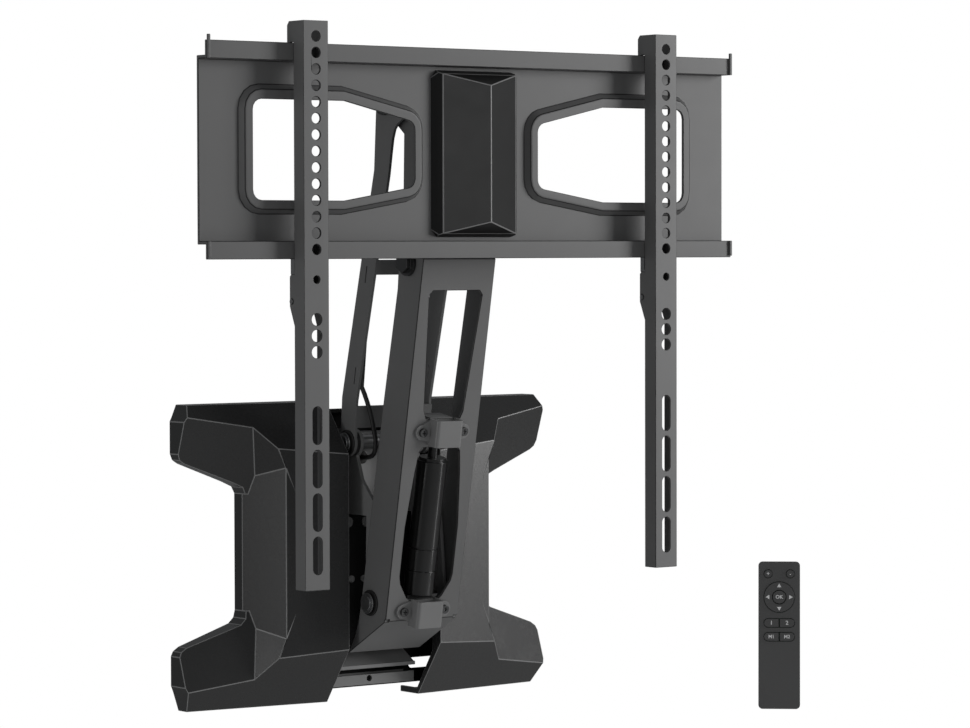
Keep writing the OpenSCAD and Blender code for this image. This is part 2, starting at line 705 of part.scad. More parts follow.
// Housing of the worm drive, clamped behind the lower saddle
module gearbox() {
  w = 15;
  z1 = head_z0 - play;
  worm_bore = worm_r + 0.6;
  bore_z0 = -8.4;
  y0 = arm_t - web_off;
  y1 = wheel_out + box_wall;
  nose = [-9, -17.6];
  low_z = -8.2;
  ear_z = [-7.6, 5];
  screw_r = 1.55;
  depth = 9;
  wheel_play = 0.4;
  color(dark_grey) on_arm() difference() {
    union() {
      side_sheet([[y0, low_z], nose, [0, -y1], [0, 0], [-over, z1], [y0, z1]], -w, 2 * w);
      x_rod(0, 0, y1, -w, 2 * w);
      both() box3([w - eps, y0, ear_z[0]], [saddle_screw_x + 4, y0 + depth, ear_z[1]]);
    }
    z_rod(0, motor_y, worm_bore, bore_z0, z1 - bore_z0 + over);
    x_rod(0, 0, wheel_out + wheel_play, -wheel_w / 2 - wheel_play, wheel_w + 2 * wheel_play);
    z_rod(0, motor_y, motor_r + play, z1, y1);
    x_rod(0, 0, pivot_r + run_gap, -w - over, 2 * w + 2 * over);
    for (s = [-1, 1]) y_rod(s * saddle_screw_x, low_screw_z, screw_r, y0 - over, depth - over);
  }
}
module motor_hanger() {
  w = 11;
  y0 = arm_t - web_off;
  depth = 17;
  screw_r = 1.55;
  ear = 4;
  ear_d = 8;
  color(steel_grey) on_arm() difference() {
    union() {
      box3([-w, y0, saddle_up_z], [w, y0 + depth, saddle_up_z + saddle_h]);
      both() box3([w - eps, y0, saddle_up_z + ear], [saddle_screw_x + ear, y0 + ear_d, saddle_up_z + saddle_h - ear]);
    }
    z_rod(0, motor_y, stub_r + eps, saddle_up_z - over, saddle_h - 2 * ear);
    for (s = [-1, 1]) y_rod(s * saddle_screw_x, up_screw_z, screw_r, y0 - over, ear_d - over);
  }
}
// Bent saddle plate with a hump and two screw tabs, z0 is its lower edge
module saddle(z0, screw_z) {
  tab_r = 6.3;
  tab_t = saddle_t;
  r = 3;
  y0 = -web_off;
  hole = 1.75;
  on_arm() difference() {
    union() {
      for (s = [-1, 1]) y_rod(s * saddle_screw_x, screw_z, tab_r, y0 - tab_t, tab_t);
      both() front_sheet([[r, z0 + over], [saddle_screw_x, screw_z - tab_r + eps], [saddle_screw_x, screw_z + tab_r - eps],
        [hump_half_w, z0 + saddle_h - over], [r, z0 + saddle_h - over]], y0 - tab_t, tab_t);
      box3([-hump_half_w, y0 - hump_d + r, z0], [hump_half_w, y0, z0 + saddle_h]);
      box3([r - hump_half_w, y0 - hump_d, z0], [hump_half_w - r, y0, z0 + saddle_h]);
      for (s = [-1, 1]) z_rod(s * (hump_half_w - r), y0 - hump_d + r, r, z0, saddle_h);
    }
    box3([saddle_t - hump_half_w, y0 - hump_d + saddle_t, z0 - over], [hump_half_w - saddle_t, y0 + over, z0 + saddle_h + over]);
    for (s = [-1, 1]) y_rod(s * saddle_screw_x, screw_z, hole, y0 - tab_t - over, tab_t + 2 * over);
  }
}
module saddle_upper() color(steel_grey) saddle(saddle_up_z, up_screw_z);
module saddle_lower() color(steel_grey) saddle(saddle_low_z, low_screw_z);
module saddle_screws() {
  head_r = 3.6;
  head_t = 2.2;
  shank_r = 1.5;
  shank = 10;
  cross_w = 0.9;
  cross_l = 3.6;
  cross_d = 1.2;
  y0 = -web_off - saddle_t;
  color(bright) on_arm() for (s = [-1, 1]) for (z = [up_screw_z, low_screw_z])
    translate([s * saddle_screw_x, y0, z]) difference() {
      union() {
        y_rod(0, 0, shank_r, -eps, shank);
        y_rod(0, 0, head_r, -head_t, head_t);
      }
      box3([-cross_l / 2, -head_t - over, -cross_w / 2], [cross_l / 2, cross_d - head_t, cross_w / 2]);
      box3([-cross_w / 2, -head_t - over, -cross_l / 2], [cross_w / 2, cross_d - head_t, cross_l / 2]);
    }
}

// Rear arm, drawn in its own frame with the lower pivot at the origin
module rear_arm() {
  w = rear_half_w;
  h = strip_half;
  sag = [4.5, -5.5];
  sag_z = [35, 225];
  top_half = 12;
  wing = [[-15.2, 243], [-15.3, 254], [-16.6, 261.4], [-19.6, 266.5], [-23.8, 270], [-28, 273], [-28, 284], [-24, 289]];
  strip = concat([[-h, 0], [sag[0] - h, sag_z[0]], [sag[1] - h, sag_z[1]]], wing, [[-top_half / 2, arm_len + top_half - over],
    [top_half, arm_len], [sag[1] + h, sag_z[1]], [sag[0] + h, sag_z[0]], [h, 0]]);
  bar_low = [14, 32];
  bar_mid = [142, 154];
  bar_y = [-7.4, -12.6];
  slit = 1.4;
  slit_l = 14;
  slit_z = [49, 133];
  color(steel_grey) on_rear() difference() {
    union() {
      both() side_sheet(strip, w - arm_t, arm_t);
      both() x_rod(0, 0, rear_ear_r, w - arm_t, arm_t);
      both() x_rod(0, arm_len, ear_r, w - arm_t, arm_t);
      box3([-w, bar_y[0], bar_low[0]], [w, bar_y[0] + arm_t, bar_low[1]]);
      box3([-w, bar_y[1] + over, bar_mid[0]], [w, bar_y[1] + over + arm_t, bar_mid[1]]);
    }
    x_rod(0, 0, bush_r, -w - over, 2 * w + 2 * over);
    x_rod(0, arm_len, bush_r, -w - over, 2 * w + 2 * over);
    for (z = slit_z) both() box3([w - arm_t - over, -slit / 2, z], [w + over, slit / 2, z + slit_l]);
  }
}
module rear_bushes() {
  inner = rear_half_w - arm_t - bracket_x - eps;
  color(black) on_rear() both() {
    bush(0, 0, rear_half_w - arm_t, arm_t, inner, bush_f);
    difference() {
      bush(0, arm_len, rear_half_w - arm_t, arm_t, inner, bush_f);
      x_rod(0, arm_len, pivot_r + loop_gap, bracket_x - over, rear_half_w);
    }
  }
}

// Lead that runs from the control box along the left strip to the head
cord_sides = 12;
function unit(v) = v / norm(v);
function tangent(pts, i) = unit(pts[min(i + 1, len(pts) - 1)] - pts[max(i - 1, 0)]);
// side vectors carried along the route without twist
function sides(pts, i, u) = let (t = tangent(pts, i), w = unit(u - (u * t) * t))
  i == len(pts) - 1 ? [w] : concat([w], sides(pts, i + 1, w));
module cord(all_pts, r) {
  pts = [for (i = [0 : len(all_pts) - 1]) if (i == 0 || norm(all_pts[i] - all_pts[i - 1]) > over) all_pts[i]];
  n = len(pts);
  m = cord_sides;
  us = sides(pts, 0, [1, 0.1, 0.2]);
  ring = [for (i = [0 : n - 1]) let (t = tangent(pts, i), u = us[i], v = cross(t, u))
    for (k = [0 : m - 1]) pts[i] + r * (cos(360 * k / m) * u + sin(360 * k / m) * v)];
  walls = [for (i = [0 : n - 2]) for (k = [0 : m - 1]) let (a = i * m + k, b = i * m + (k + 1) % m)
    for (f = [[a, a + m, b], [b, a + m, b + m]]) f];
  polyhedron(points = ring, faces = concat([[for (k = [0 : m - 1]) k]], walls, [[for (k = [m - 1 : -1 : 0]) (n - 1) * m + k]]));
}
function bend(a, b, c, n) = [for (i = [0 : n]) let (t = i / n) (1 - t) * (1 - t) * a + 2 * t * (1 - t) * b + t * t * c];
module head_cable() {
  y0 = -plate_t - box_d;
  sx = cable_r + 0.1 + arm_t - rear_half_w;
  from = [gland_x, board_y, gland_z];
  out = [gland_x, y0 - 8, gland_z];
  out_pull = [gland_x - 4, -50, gland_z];
  dip = [gland_x - 8, -61, gland_z + 3];
  dip_pull = [gland_x - 9, -67, gland_z + 5];
  low = [gland_x - 9, -67, 92];
  low_pull = [sx + 3, -67, 118];
  side = [sx, -58, 136];
  mid = [[sx, -66, 203]];
  high = [sx, -73, 238];
  high_pull = [sx, -80, 262];
  inner = [-28, -98, 268];
  inner_pull = [-26.3, -112, 272];
  up = [-26.3, -122, 288];
  climb = [-26.3, -126, 305];
  climb_pull = [-26.3, -130, 338];
  cross = [-16, -134, 338];
  cross_pull = [-12, -135.5, 338];
  web = [-12, -142, 338];
  past = [-12, -150, 338];
  past_pull = [-12, -175, 338];
  rise = [-12, -176, 348];
  rise_pull = [-11, -176, 355];
  turn = [-6, -176, 355];
  turn_pull = [-2, -176, 355];
  end = [-2, -176, sector_z + sector_t + 3 + 34];
  color(black) cord(concat([from], bend(out, out_pull, dip, 5), bend(dip, dip_pull, low, 4), bend(low, low_pull, side, 6), mid,
    bend(high, high_pull, inner, 6), bend(inner, inner_pull, up, 5), bend(climb, climb_pull, cross, 6),
    bend(cross, cross_pull, web, 3), bend(past, past_pull, rise, 5),
    bend(rise, rise_pull, turn, 4), [turn_pull + [0, 0, -3], end]), cable_r);
}

// Head that the two arms keep upright
lug_z = [268, 374];
sector_z = 300;
sector_t = 6;
module head_bracket() {
  f = -head_front_d;
  w = head_x;
  low = tv_z - 61;
  top = tv_z + 62;
  side = [[AU[0] - front_ear_r, AU[1]], [AU[0] + front_ear_r, AU[1]], [AU[0] + front_ear_r, low - 12], [AU[0] + 11, BU[1] - 26],
    [BU[0] + ear_r, BU[1] - 2], [BU[0], BU[1] + ear_r], [f + 4, top], [f, top - 4], [f, low], [AU[0] - front_ear_r, low - 16]];
  hole_r2 = 3.5;
  color(steel_grey) difference() {
    union() {
      both() {
        side_sheet(side, w - head_t, head_t);
        x_rod(AU[0], AU[1], front_ear_r, w - head_t, head_t);
        x_rod(BU[0], BU[1], ear_r, w - head_t, head_t);
      }
      box3([-w, f, low], [w, f + head_t, top - 4]);
      for (z = lug_z) {
        box3([-lug_r, swivel_y, z], [lug_r, f + eps, z + lug_t]);
        z_rod(0, swivel_y, lug_r, z, lug_t);
      }
    }
    both() {
      x_rod(AU[0], AU[1], pivot_r, w - head_t - over, head_t + 2 * over);
      x_rod(BU[0], BU[1], pivot_r, w - head_t - over, head_t + 2 * over);
    }
    z_rod(0, swivel_y, swivel_r, lug_z[0] - over, lug_t + 2 * over);
    z_rod(0, swivel_y, swivel_r, lug_z[1] - over, lug_t + 2 * over);
    y_rod(-12, 338, hole_r2, f - over, head_t + 2 * over);
  }
}
// Pivot bolt with its washer outside and its nut inside, drawn for the right side
module pivot_bolt(c, x_in, x_out) {
  wash_t = 1.4;
  wash_r = 10.5;
  head_t = 4;
  head_r = 8.4;
  nut_t = 5;
  shank0 = x_in - nut_t - over;
  union() {
    x_rod(c[0], c[1], pivot_r, shank0, x_out - shank0 + wash_t + eps);
    x_rod(c[0], c[1], wash_r, x_out + 0.1, wash_t);
    translate([x_out + 0.1 + wash_t - eps, c[0], c[1]]) rotate([0, 90, 0]) cylinder(h = head_t, r = head_r, $fn = 6);
    translate([x_in - nut_t, c[0], c[1]]) rotate([0, 90, 0]) cylinder(h = nut_t, r = head_r, $fn = 6);
  }
}
module front_bolts() color(bright) both() pivot_bolt(AU, head_x - head_t, front_half_w + bush_f);
module rear_bolts() color(bright) both() pivot_bolt(BU, head_x - head_t, rear_half_w + bush_f);
module swivel_pin() {
  gap = 0.3;
  head_r = 6.6;
  head_t = 3;
  ring_r = 6;
  z0 = lug_z[0] - gap - lug_t;
  z1 = lug_z[1] + 2 * lug_t + gap;
  color(bright) {
    z_rod(0, swivel_y, swivel_r, z0 - 3, z1 - z0 + 4);
    z_rod(0, swivel_y, head_r, z1 + gap, head_t);
    z_rod(0, swivel_y, ring_r, z0 - gap - clip_t, clip_t);
  }
}
sector_teeth = 32;
pinion_teeth = 10;
pinion_c = sector_r + 5;
module swivel_gear() {
  ro = sector_r + 0.7;
  ri = sector_r - 1.1;
  color([0.72, 0.6, 0.3]) difference() {
    translate([0, swivel_y, sector_z]) linear_extrude(sector_t) polygon(tooth_pts(sector_teeth, ro, ri, 270 + 180 / sector_teeth));
    z_rod(0, swivel_y, swivel_r + 0.06, sector_z - over, sector_t + 2 * over);
    box3([-2 * ro, -head_front_d, sector_z - over], [2 * ro, 0, sector_z + sector_t + over]);
  }
}

// TV plate with its bent edges, raised window rims and lugs
function arc(cx, cz, r, a0, a1, n) = [for (i = [0 : n]) let (a = a0 + (a1 - a0) * i / n) [cx + r * cos(a), cz + r * sin(a)]];
win_r = 8;
win_slope = [128, 13.6, 10];
function window_pts(g) = let (r = win_r + g, x0 = win_in - g, x1 = win_out + g, z0 = tv_z - win_low - g, z1 = tv_z + win_up + 1.08 * g)
  concat(arc(x1 - r, z0 + r, r, 270, 360, 4), arc(x1 - r, z1 - r, r, 0, 90, 4),
    [[win_slope[0], z1]], arc(x0 + r, z1 - win_slope[1] - r, r, 105, 180, 4),
    arc(x0 + r, z0 + win_slope[2] + r, r, 180, 258, 4), [[win_slope[0], z0]]);
// sheet rim that rises from the plate's face around a window
module window_rim() {
  y0 = -tv_d;
  ring = [[press_w + eps, y0], [press_w - 3.5, y0 - press_d + 0.6], [press_w - 5, y0 - press_d], [0, y0 - press_d],
    [0, y0 - press_d + tv_t], [press_w - 6, y0 - press_d + tv_t], [press_w - 1.6, y0 + tv_t], [press_w + eps, y0 + tv_t]];
  n = len(window_pts(0));
  m = len(ring);
  pts = [for (q = ring) for (p = window_pts(q[0])) [p[0], q[1], p[1]]];
  walls = [for (j = [0 : m - 1]) for (i = [0 : n - 1]) let (a = j * n + i, b = j * n + (i + 1) % n, c = ((j + 1) % m) * n + i,
    d = ((j + 1) % m) * n + (i + 1) % n) for (f = [[a, d, b], [a, c, d]]) f];
  polyhedron(points = pts, faces = walls);
}
module tv_plate() {
  y0 = -tv_d;
  up = tv_z + tv_half_h;
  low = tv_z - tv_half_h;
  slot_w = 17.5;
  wire_x = 9;
  vent = 2;
  gap = 0.3;
  lz = [lug_z[0] - gap - lug_t, lug_z[1] + lug_t + gap];
  color(steel_grey) difference() {
    union() {
      box3([-tv_half_w, y0, low], [tv_half_w, y0 + tv_t, up]);
      box3([-tv_half_w, y0 - lip_d, up - tv_t], [tv_half_w, y0 + tv_t, up]);
      box3([-tv_half_w, y0 - lip_d, low], [tv_half_w, y0 + tv_t, low + tv_t]);
      box3([-tv_half_w, y0 - lip_d, up - tv_t], [tv_half_w, y0 - lip_d + tv_t, up + lip_h]);
      box3([-tv_half_w, y0 - lip_d, low - lip_h], [tv_half_w, y0 - lip_d + tv_t, low + tv_t]);
      for (z = lz) {
        box3([-lug_r, y0 + tv_t - eps, z], [lug_r, swivel_y, z + lug_t]);
        z_rod(0, swivel_y, lug_r, z, lug_t);
      }
    }
    both() front_sheet(window_pts(press_w), y0 - over, tv_t + 2 * over);
    box3([-slot_w, y0 - over, sector_z - over], [slot_w, y0 + tv_t + over, sector_z + sector_t + over]);
    box3([-wire_x - 8, y0 - over, 330], [-wire_x + 5, y0 + tv_t + over, 346]);
    for (z = lz) z_rod(0, swivel_y, swivel_r + run_gap, z - over, lug_t + 2 * over);
  }
  color(steel_grey) both() window_rim();
}
module end_stops() {
  y0 = -tv_d - lip_d;
  t = 2.5;
  d = 2;
  rise = 15.5;
  drop = 10;
  color(steel_grey) both() {
    box3([tv_half_w - t, y0 - d, tv_z + tv_half_h - tv_t], [tv_half_w, y0, tv_z + tv_half_h + rise]);
    box3([tv_half_w - t, y0 - d, tv_z - tv_half_h - drop], [tv_half_w, y0, tv_z - tv_half_h + tv_t]);
  }
}
module swivel_motor() {
  r = 8;
  z0 = sector_z + sector_t + 3;
  l = 34;
  foot_w = 6;
  c = swivel_y - pinion_c;
  bore = 1.56;
  color(bright) difference() {
    union() {
      z_rod(0, c, r, z0, l);
      box3([-foot_w, c, z0 + foot_w], [foot_w, -tv_d, z0 + l - foot_w]);
      z_rod(0, c, r / 2, z0 - 2, 2 + eps);
    }
    z_rod(0, c, bore, z0 - 3, 9);
  }
}
module swivel_pinion() {
  c = swivel_y - pinion_c;
  r = 5;
  shaft = 1.5;
  color(bright) {
    translate([0, c, sector_z]) linear_extrude(sector_t) polygon(tooth_pts(pinion_teeth, r + 0.6, r - 1.2, 90));
    z_rod(0, c, shaft, sector_z + sector_t - eps, 7);
  }
}

// Roof shaped centre cover, shrunk inwards by t
module dome_solid(t) {
  w0 = dome_half_w - t;
  w1 = dome_half_w - 7 - t;
  h0 = dome_half_h - t;
  h1 = dome_half_h - 3 - t;
  h2 = dome_half_h - 12 - t;
  d1 = 8 - t;
  d2 = dome_d - t;
  cut = 6.5;
  y0 = -tv_d;
  b = t > 0 ? over : 0;
  intersection() {
    plan_sheet([[-w0, y0 + b], [-w0, y0], [-w1, y0 - d1], [0, y0 - d2], [w1, y0 - d1], [w0, y0], [w0, y0 + b]], tv_z - h0, 2 * h0);
    side_sheet([[y0 + b, tv_z + h0], [y0, tv_z + h0], [y0 - d1, tv_z + h1], [y0 - d2, tv_z + h2], [y0 - d2, tv_z - h2], [y0 - d1, tv_z - h1],
      [y0, tv_z - h0], [y0 + b, tv_z - h0]], -w0, 2 * w0);
    translate([0, 0, tv_z]) front_sheet([[cut - w0, h0], [w0 - cut, h0], [w0, h0 - cut], [w0, cut - h0], [w0 - cut, -h0],
      [cut - w0, -h0], [-w0, cut - h0], [-w0, h0 - cut]], y0 - dome_d, dome_d + b);
  }
}
module centre_cover() {
  post_r = 3;
  post_x = 26;
  post_z = 46;
  color(dark_grey) {
    difference() {
      dome_solid(0);
      dome_solid(dome_t);
    }
    intersection() {
      dome_solid(dome_t / 2);
      for (sx = [-1, 1]) for (sz = [-1, 1]) y_rod(sx * post_x, tv_z + sz * post_z, post_r, -tv_d - dome_d, dome_d);
    }
  }
}

// Rail that hooks over the TV plate, x is its left edge
pin_y = -174.4;
pin_z = 208;
latch_pin_r = 2;
module rail(x) {
  z0 = rail_top - rail_l_len;
  y1 = rail_y + rail_d;
  hook_y0 = -tv_d - lip_d - slide_gap;
  hook_y1 = -tv_d - lip_d + tv_t + 1;
  flange_top = tv_z + tv_half_h + lip_h;
  ear = [[hook_y0 - over, rail_top], [hook_y1 + 2.5, rail_top], [hook_y1 + 5, rail_top - 3], [hook_y1 + 5, flange_top - 8.5],
    [hook_y1, flange_top - 8.5], [hook_y1, flange_top + slide_gap], [hook_y0 - over, flange_top + slide_gap]];
  low = [[y1 - over, 229], [y1 + 4.4, 229], [y1 + 6.4, 227], [y1 + 6.4, 204], [y1, 189], [y1 - over, 189]];
  first = rail_top - 11.9;
  big_at = [216, 228.5, 241];
  slot_at = [297.1, 330.4, 363.7, 396.9];
  dimple_at = 185.5;
  dimple_r = 3;
  gap_low = 256;
  gap_top = flange_top - 16;
  cx = x + rail_w / 2;
  color(steel_grey) difference() {
    union() {
      box3([x, rail_y, z0], [x + rail_w, rail_y + rail_t, rail_top]);
      for (xx = [x, x + rail_w - rail_t]) {
        box3([xx, rail_y, z0], [xx + rail_t, y1, rail_top]);
        side_sheet(ear, xx, rail_t);
        side_sheet(low, xx, rail_t);
      }
    }
    for (i = [0 : 13]) y_rod(cx, first - i * hole_pitch, hole_r, rail_y - over, rail_t + 2 * over);
    for (d = big_at) y_rod(cx, first - d, big_r, rail_y - over, rail_t + 2 * over);
    for (d = slot_at) slot_z(cx, first - d, slot_r, slot_l, rail_y - over, rail_t + 2 * over);
    y_rod(cx, first - dimple_at, dimple_r, rail_y - over, rail_t + 2 * over);
    x_rod(pin_y, pin_z, latch_pin_r + run_gap, x - over, rail_w + 2 * over);
    box3([x + rail_w - rail_t - over, rail_y + rail_side, gap_low], [x + rail_w + over, y1 + over, gap_top]);
  }
}
module rail_l() rail(rail_left_x);
module rail_r() rail(rail_right_x);
// Sprung latch between the sides of a rail
module latch(x) {
  in = rail_t + 0.4;
  cheek = 5;
  low = [[-178, 200], [-171, 199], [-171, 228], [-169.4, 232], [-169.4, 243], [-172, 246], [-174.4, 246], [-174.4, 231], [-178, 228]];
  bar = [[-174.4, 226], [-169.4, 229], [-169.4, 243], [-172, 246], [-174.4, 246]];
  color(bright) {
    side_sheet(low, x + in, cheek);
    side_sheet(low, x + rail_w - in - cheek, cheek);
    side_sheet(bar, x + in, rail_w - 2 * in);
    x_rod(pin_y, pin_z, latch_pin_r, x - 0.8, rail_w + 1.6);
  }
}
module latch_l() latch(rail_left_x);
module latch_r() latch(rail_right_x);
// Coil around the latch pin, drawn as touching rings with two legs
module latch_spring(x) {
  wire = 0.6;
  coil_r = 3.2;
  turns = 4;
  mid = x + rail_w / 2;
  lean = 60;
  leg = 13.4;
  leg_up = 17.4;
  color(bright) {
    for (i = [0 : turns]) translate([mid + (i - turns / 2) * 2 * (wire - eps), pin_y, pin_z]) rotate([0, 90, 0])
      rotate_extrude($fn = 24) translate([coil_r, 0]) circle(r = wire, $fn = 16);
    z_rod(mid - turns * wire, pin_y + coil_r, wire, pin_z, leg_up);
    translate([mid + turns * wire, pin_y - coil_r, pin_z]) rotate([lean, 0, 0]) cylinder(h = leg, r = wire);
  }
}
module latch_spring_l() latch_spring(rail_left_x);
module latch_spring_r() latch_spring(rail_right_x);

// Remote control, drawn around its own middle with its face towards minus Y
module on_remote() translate(remote_c) rotate([-remote_tip, 0, remote_turn]) children();
module slab(w, h, r, y0, t) {
  box3([r - w / 2, y0, -h / 2], [w / 2 - r, y0 + t, h / 2]);
  box3([-w / 2, y0, r - h / 2], [w / 2, y0 + t, h / 2 - r]);
  for (sx = [-1, 1]) for (sz = [-1, 1]) y_rod(sx * (w / 2 - r), sz * (h / 2 - r), r, y0, t);
}
remote_r = 3.6;
shell_t = 1.6;
key_in = 2.4;
round_c = [9.4, 51.9];
round_r = 3.5;
pad_z = 32.2;
pad_r = 13;
ok_r = 5.7;
pill_w = 13;
pill_h = 7.4;
pill_z = [10.3, -1.4];
pill_split = 0.3;
module pill(s, z, g, y0, t) {
  r = pill_h / 2 + g;
  e = s * (pill_w - pill_h / 2);
  in_x = g > 0 ? -s * eps : s * pill_split;
  box3([min(e, in_x), y0, z - r], [max(e, in_x), y0 + t, z + r]);
  y_rod(e, z, r, y0, t);
}
module remote_face() {
  f = -remote_t / 2;
  d = shell_t + 2 * over;
  color(black) on_remote() difference() {
    slab(remote_w, remote_l, remote_r, f, remote_t / 2);
    slab(remote_w - 2 * shell_t, remote_l - 2 * shell_t, remote_r - shell_t, f + shell_t, remote_t);
    for (s = [-1, 1]) y_rod(s * round_c[0], round_c[1], round_r + key_gap, f - over, d);
    y_rod(0, pad_z, pad_r + key_gap, f - over, d);
    for (z = pill_z) for (s = [-1, 1]) pill(s, z, key_gap, f - over, d);
  }
}
module remote_back() {
  color(black) on_remote() difference() {
    slab(remote_w, remote_l, remote_r, 0, remote_t / 2);
    slab(remote_w - 2 * shell_t, remote_l - 2 * shell_t, remote_r - shell_t, -over, remote_t / 2 - shell_t + over);
  }
}
module remote_board() {
  board_t = 1.2;
  y0 = -1.8;
  led_r = 1.5;
  led_l = 4;
  post = 1.2;
  color([0.1, 0.35, 0.18]) on_remote() {
    slab(remote_w - 2 * shell_t - 1, remote_l - 2 * shell_t - 8, 2, y0, board_t);
    z_rod(0, y0 + board_t / 2, led_r, remote_l / 2 - shell_t - 5, led_l);
    for (sx = [-1, 1]) for (sz = [-1, 1]) y_rod(sx * 12, sz * 50, post, y0, remote_t / 2 - shell_t - y0);
  }
}
module remote_cells() {
  cell_r = 10;
  cell_t = 2.5;
  cell_z = -38;
  color(bright) on_remote() y_rod(0, cell_z, cell_r, -0.6, cell_t);
}
module round_key(x, z, r) on_remote() y_rod(x, z, r, -remote_t / 2 - key_out, key_out + key_in);
module key_a() color(light_grey) round_key(-round_c[0], round_c[1], round_r);
module key_b() color(light_grey) round_key(round_c[0], round_c[1], round_r);
module key_ok() color(light_grey) round_key(0, pad_z, ok_r);
module key_pad() color(dark_grey) on_remote() difference() {
  y_rod(0, pad_z, pad_r, -remote_t / 2 - key_out, key_out + key_in);
  y_rod(0, pad_z, ok_r + key_gap, -remote_t / 2 - key_out - over, key_out + key_in + 2 * over);
}
module pill_key(s, z) color(dark_grey) on_remote() pill(s, z, 0, -remote_t / 2 - key_out, key_out + key_in);
module key_1() pill_key(-1, pill_z[0]);
module key_2() pill_key(1, pill_z[0]);
module key_m1() pill_key(-1, pill_z[1]);
module key_m2() pill_key(1, pill_z[1]);

wall_plate();
bottom_bar();
bracket_l();
bracket_r();
front_shaft();
rear_shaft();
shaft_clips();
cover_l();
cover_r();
cover_screws();
control_box();
control_lid();
circuit_board();
cable_gland();
power_socket();
worm_wheel();
front_arm();
front_bushes();
motor_tube();
gear_head();
gearbox();
worm();
motor_hanger();
saddle_upper();
saddle_lower();
saddle_screws();
rear_arm();
rear_bushes();
head_cable();
head_bracket();
front_bolts();
rear_bolts();
swivel_pin();
swivel_gear();
tv_plate();
end_stops();
swivel_motor();
swivel_pinion();
centre_cover();
rail_l();
rail_r();
latch_l();
latch_r();
latch_spring_l();
latch_spring_r();
remote_face();
remote_back();
remote_board();
remote_cells();
key_a();
key_b();
key_pad();
key_ok();
key_1();
key_2();
key_m1();
key_m2();
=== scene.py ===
"""Motorized mantel TV mount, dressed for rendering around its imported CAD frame."""

from __future__ import annotations

import logging
import math
from dataclasses import dataclass
from enum import Enum

import bmesh
import bpy
from mathutils import Matrix, Vector


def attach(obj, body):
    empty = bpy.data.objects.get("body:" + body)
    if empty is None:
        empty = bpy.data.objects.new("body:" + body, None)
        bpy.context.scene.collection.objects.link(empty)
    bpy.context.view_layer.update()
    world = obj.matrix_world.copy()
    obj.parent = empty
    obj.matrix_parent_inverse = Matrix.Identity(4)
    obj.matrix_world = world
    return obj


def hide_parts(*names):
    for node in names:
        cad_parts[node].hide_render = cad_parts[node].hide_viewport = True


LOG = logging.getLogger("tv_mount")
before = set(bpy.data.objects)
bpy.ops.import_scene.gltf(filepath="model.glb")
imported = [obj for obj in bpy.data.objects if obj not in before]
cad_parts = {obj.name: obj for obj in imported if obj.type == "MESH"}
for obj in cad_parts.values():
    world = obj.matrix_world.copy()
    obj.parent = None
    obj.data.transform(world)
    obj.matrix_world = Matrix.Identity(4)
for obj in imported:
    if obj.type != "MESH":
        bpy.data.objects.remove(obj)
Point = tuple[float, float, float]
Colour = tuple[float, float, float, float]
Bend = tuple[Point, Point, Point, int]

# Gaps are in metres and the angle is in degrees.
MM = 0.001
WELD_GAP = 0.00001
DOUBLE_GAP = 0.000001
FLAT_ANGLE = 0.6
NOISE_ROUGH = 0.55
WHITE: Colour = (1.0, 1.0, 1.0, 1.0)


class Sock:
    """A shader socket that takes part in Python expressions."""

    def __init__(self, graph: Graph, socket: bpy.types.NodeSocket) -> None:
        """Keep the graph that the socket belongs to."""
        self.graph = graph
        self.socket = socket

    def __add__(self, other: Value) -> Sock:
        """Sum of two numbers."""
        return self.graph.maths("ADD", self, other)

    __radd__ = __add__

    def __sub__(self, other: Value) -> Sock:
        """Difference of two numbers."""
        return self.graph.maths("SUBTRACT", self, other)

    def __rsub__(self, other: Value) -> Sock:
        """Difference with the number on the left."""
        return self.graph.maths("SUBTRACT", other, self)

    def __mul__(self, other: Value) -> Sock:
        """Product of two numbers."""
        return self.graph.maths("MULTIPLY", self, other)

    __rmul__ = __mul__

    def smooth(self, low: float, high: float) -> Sock:
        """Smooth step from 0 at low to 1 at high.

        Args:
            low: value where the step starts.
            high: value where the step ends.

        Returns:
            The stepped number.
        """
        made = self.graph.node("ShaderNodeMapRange", {"interpolation_type": "SMOOTHSTEP"},
                               {"Value": self, "From Min": low, "From Max": high})
        return Sock(self.graph, made.outputs["Result"])


Value = Sock | float


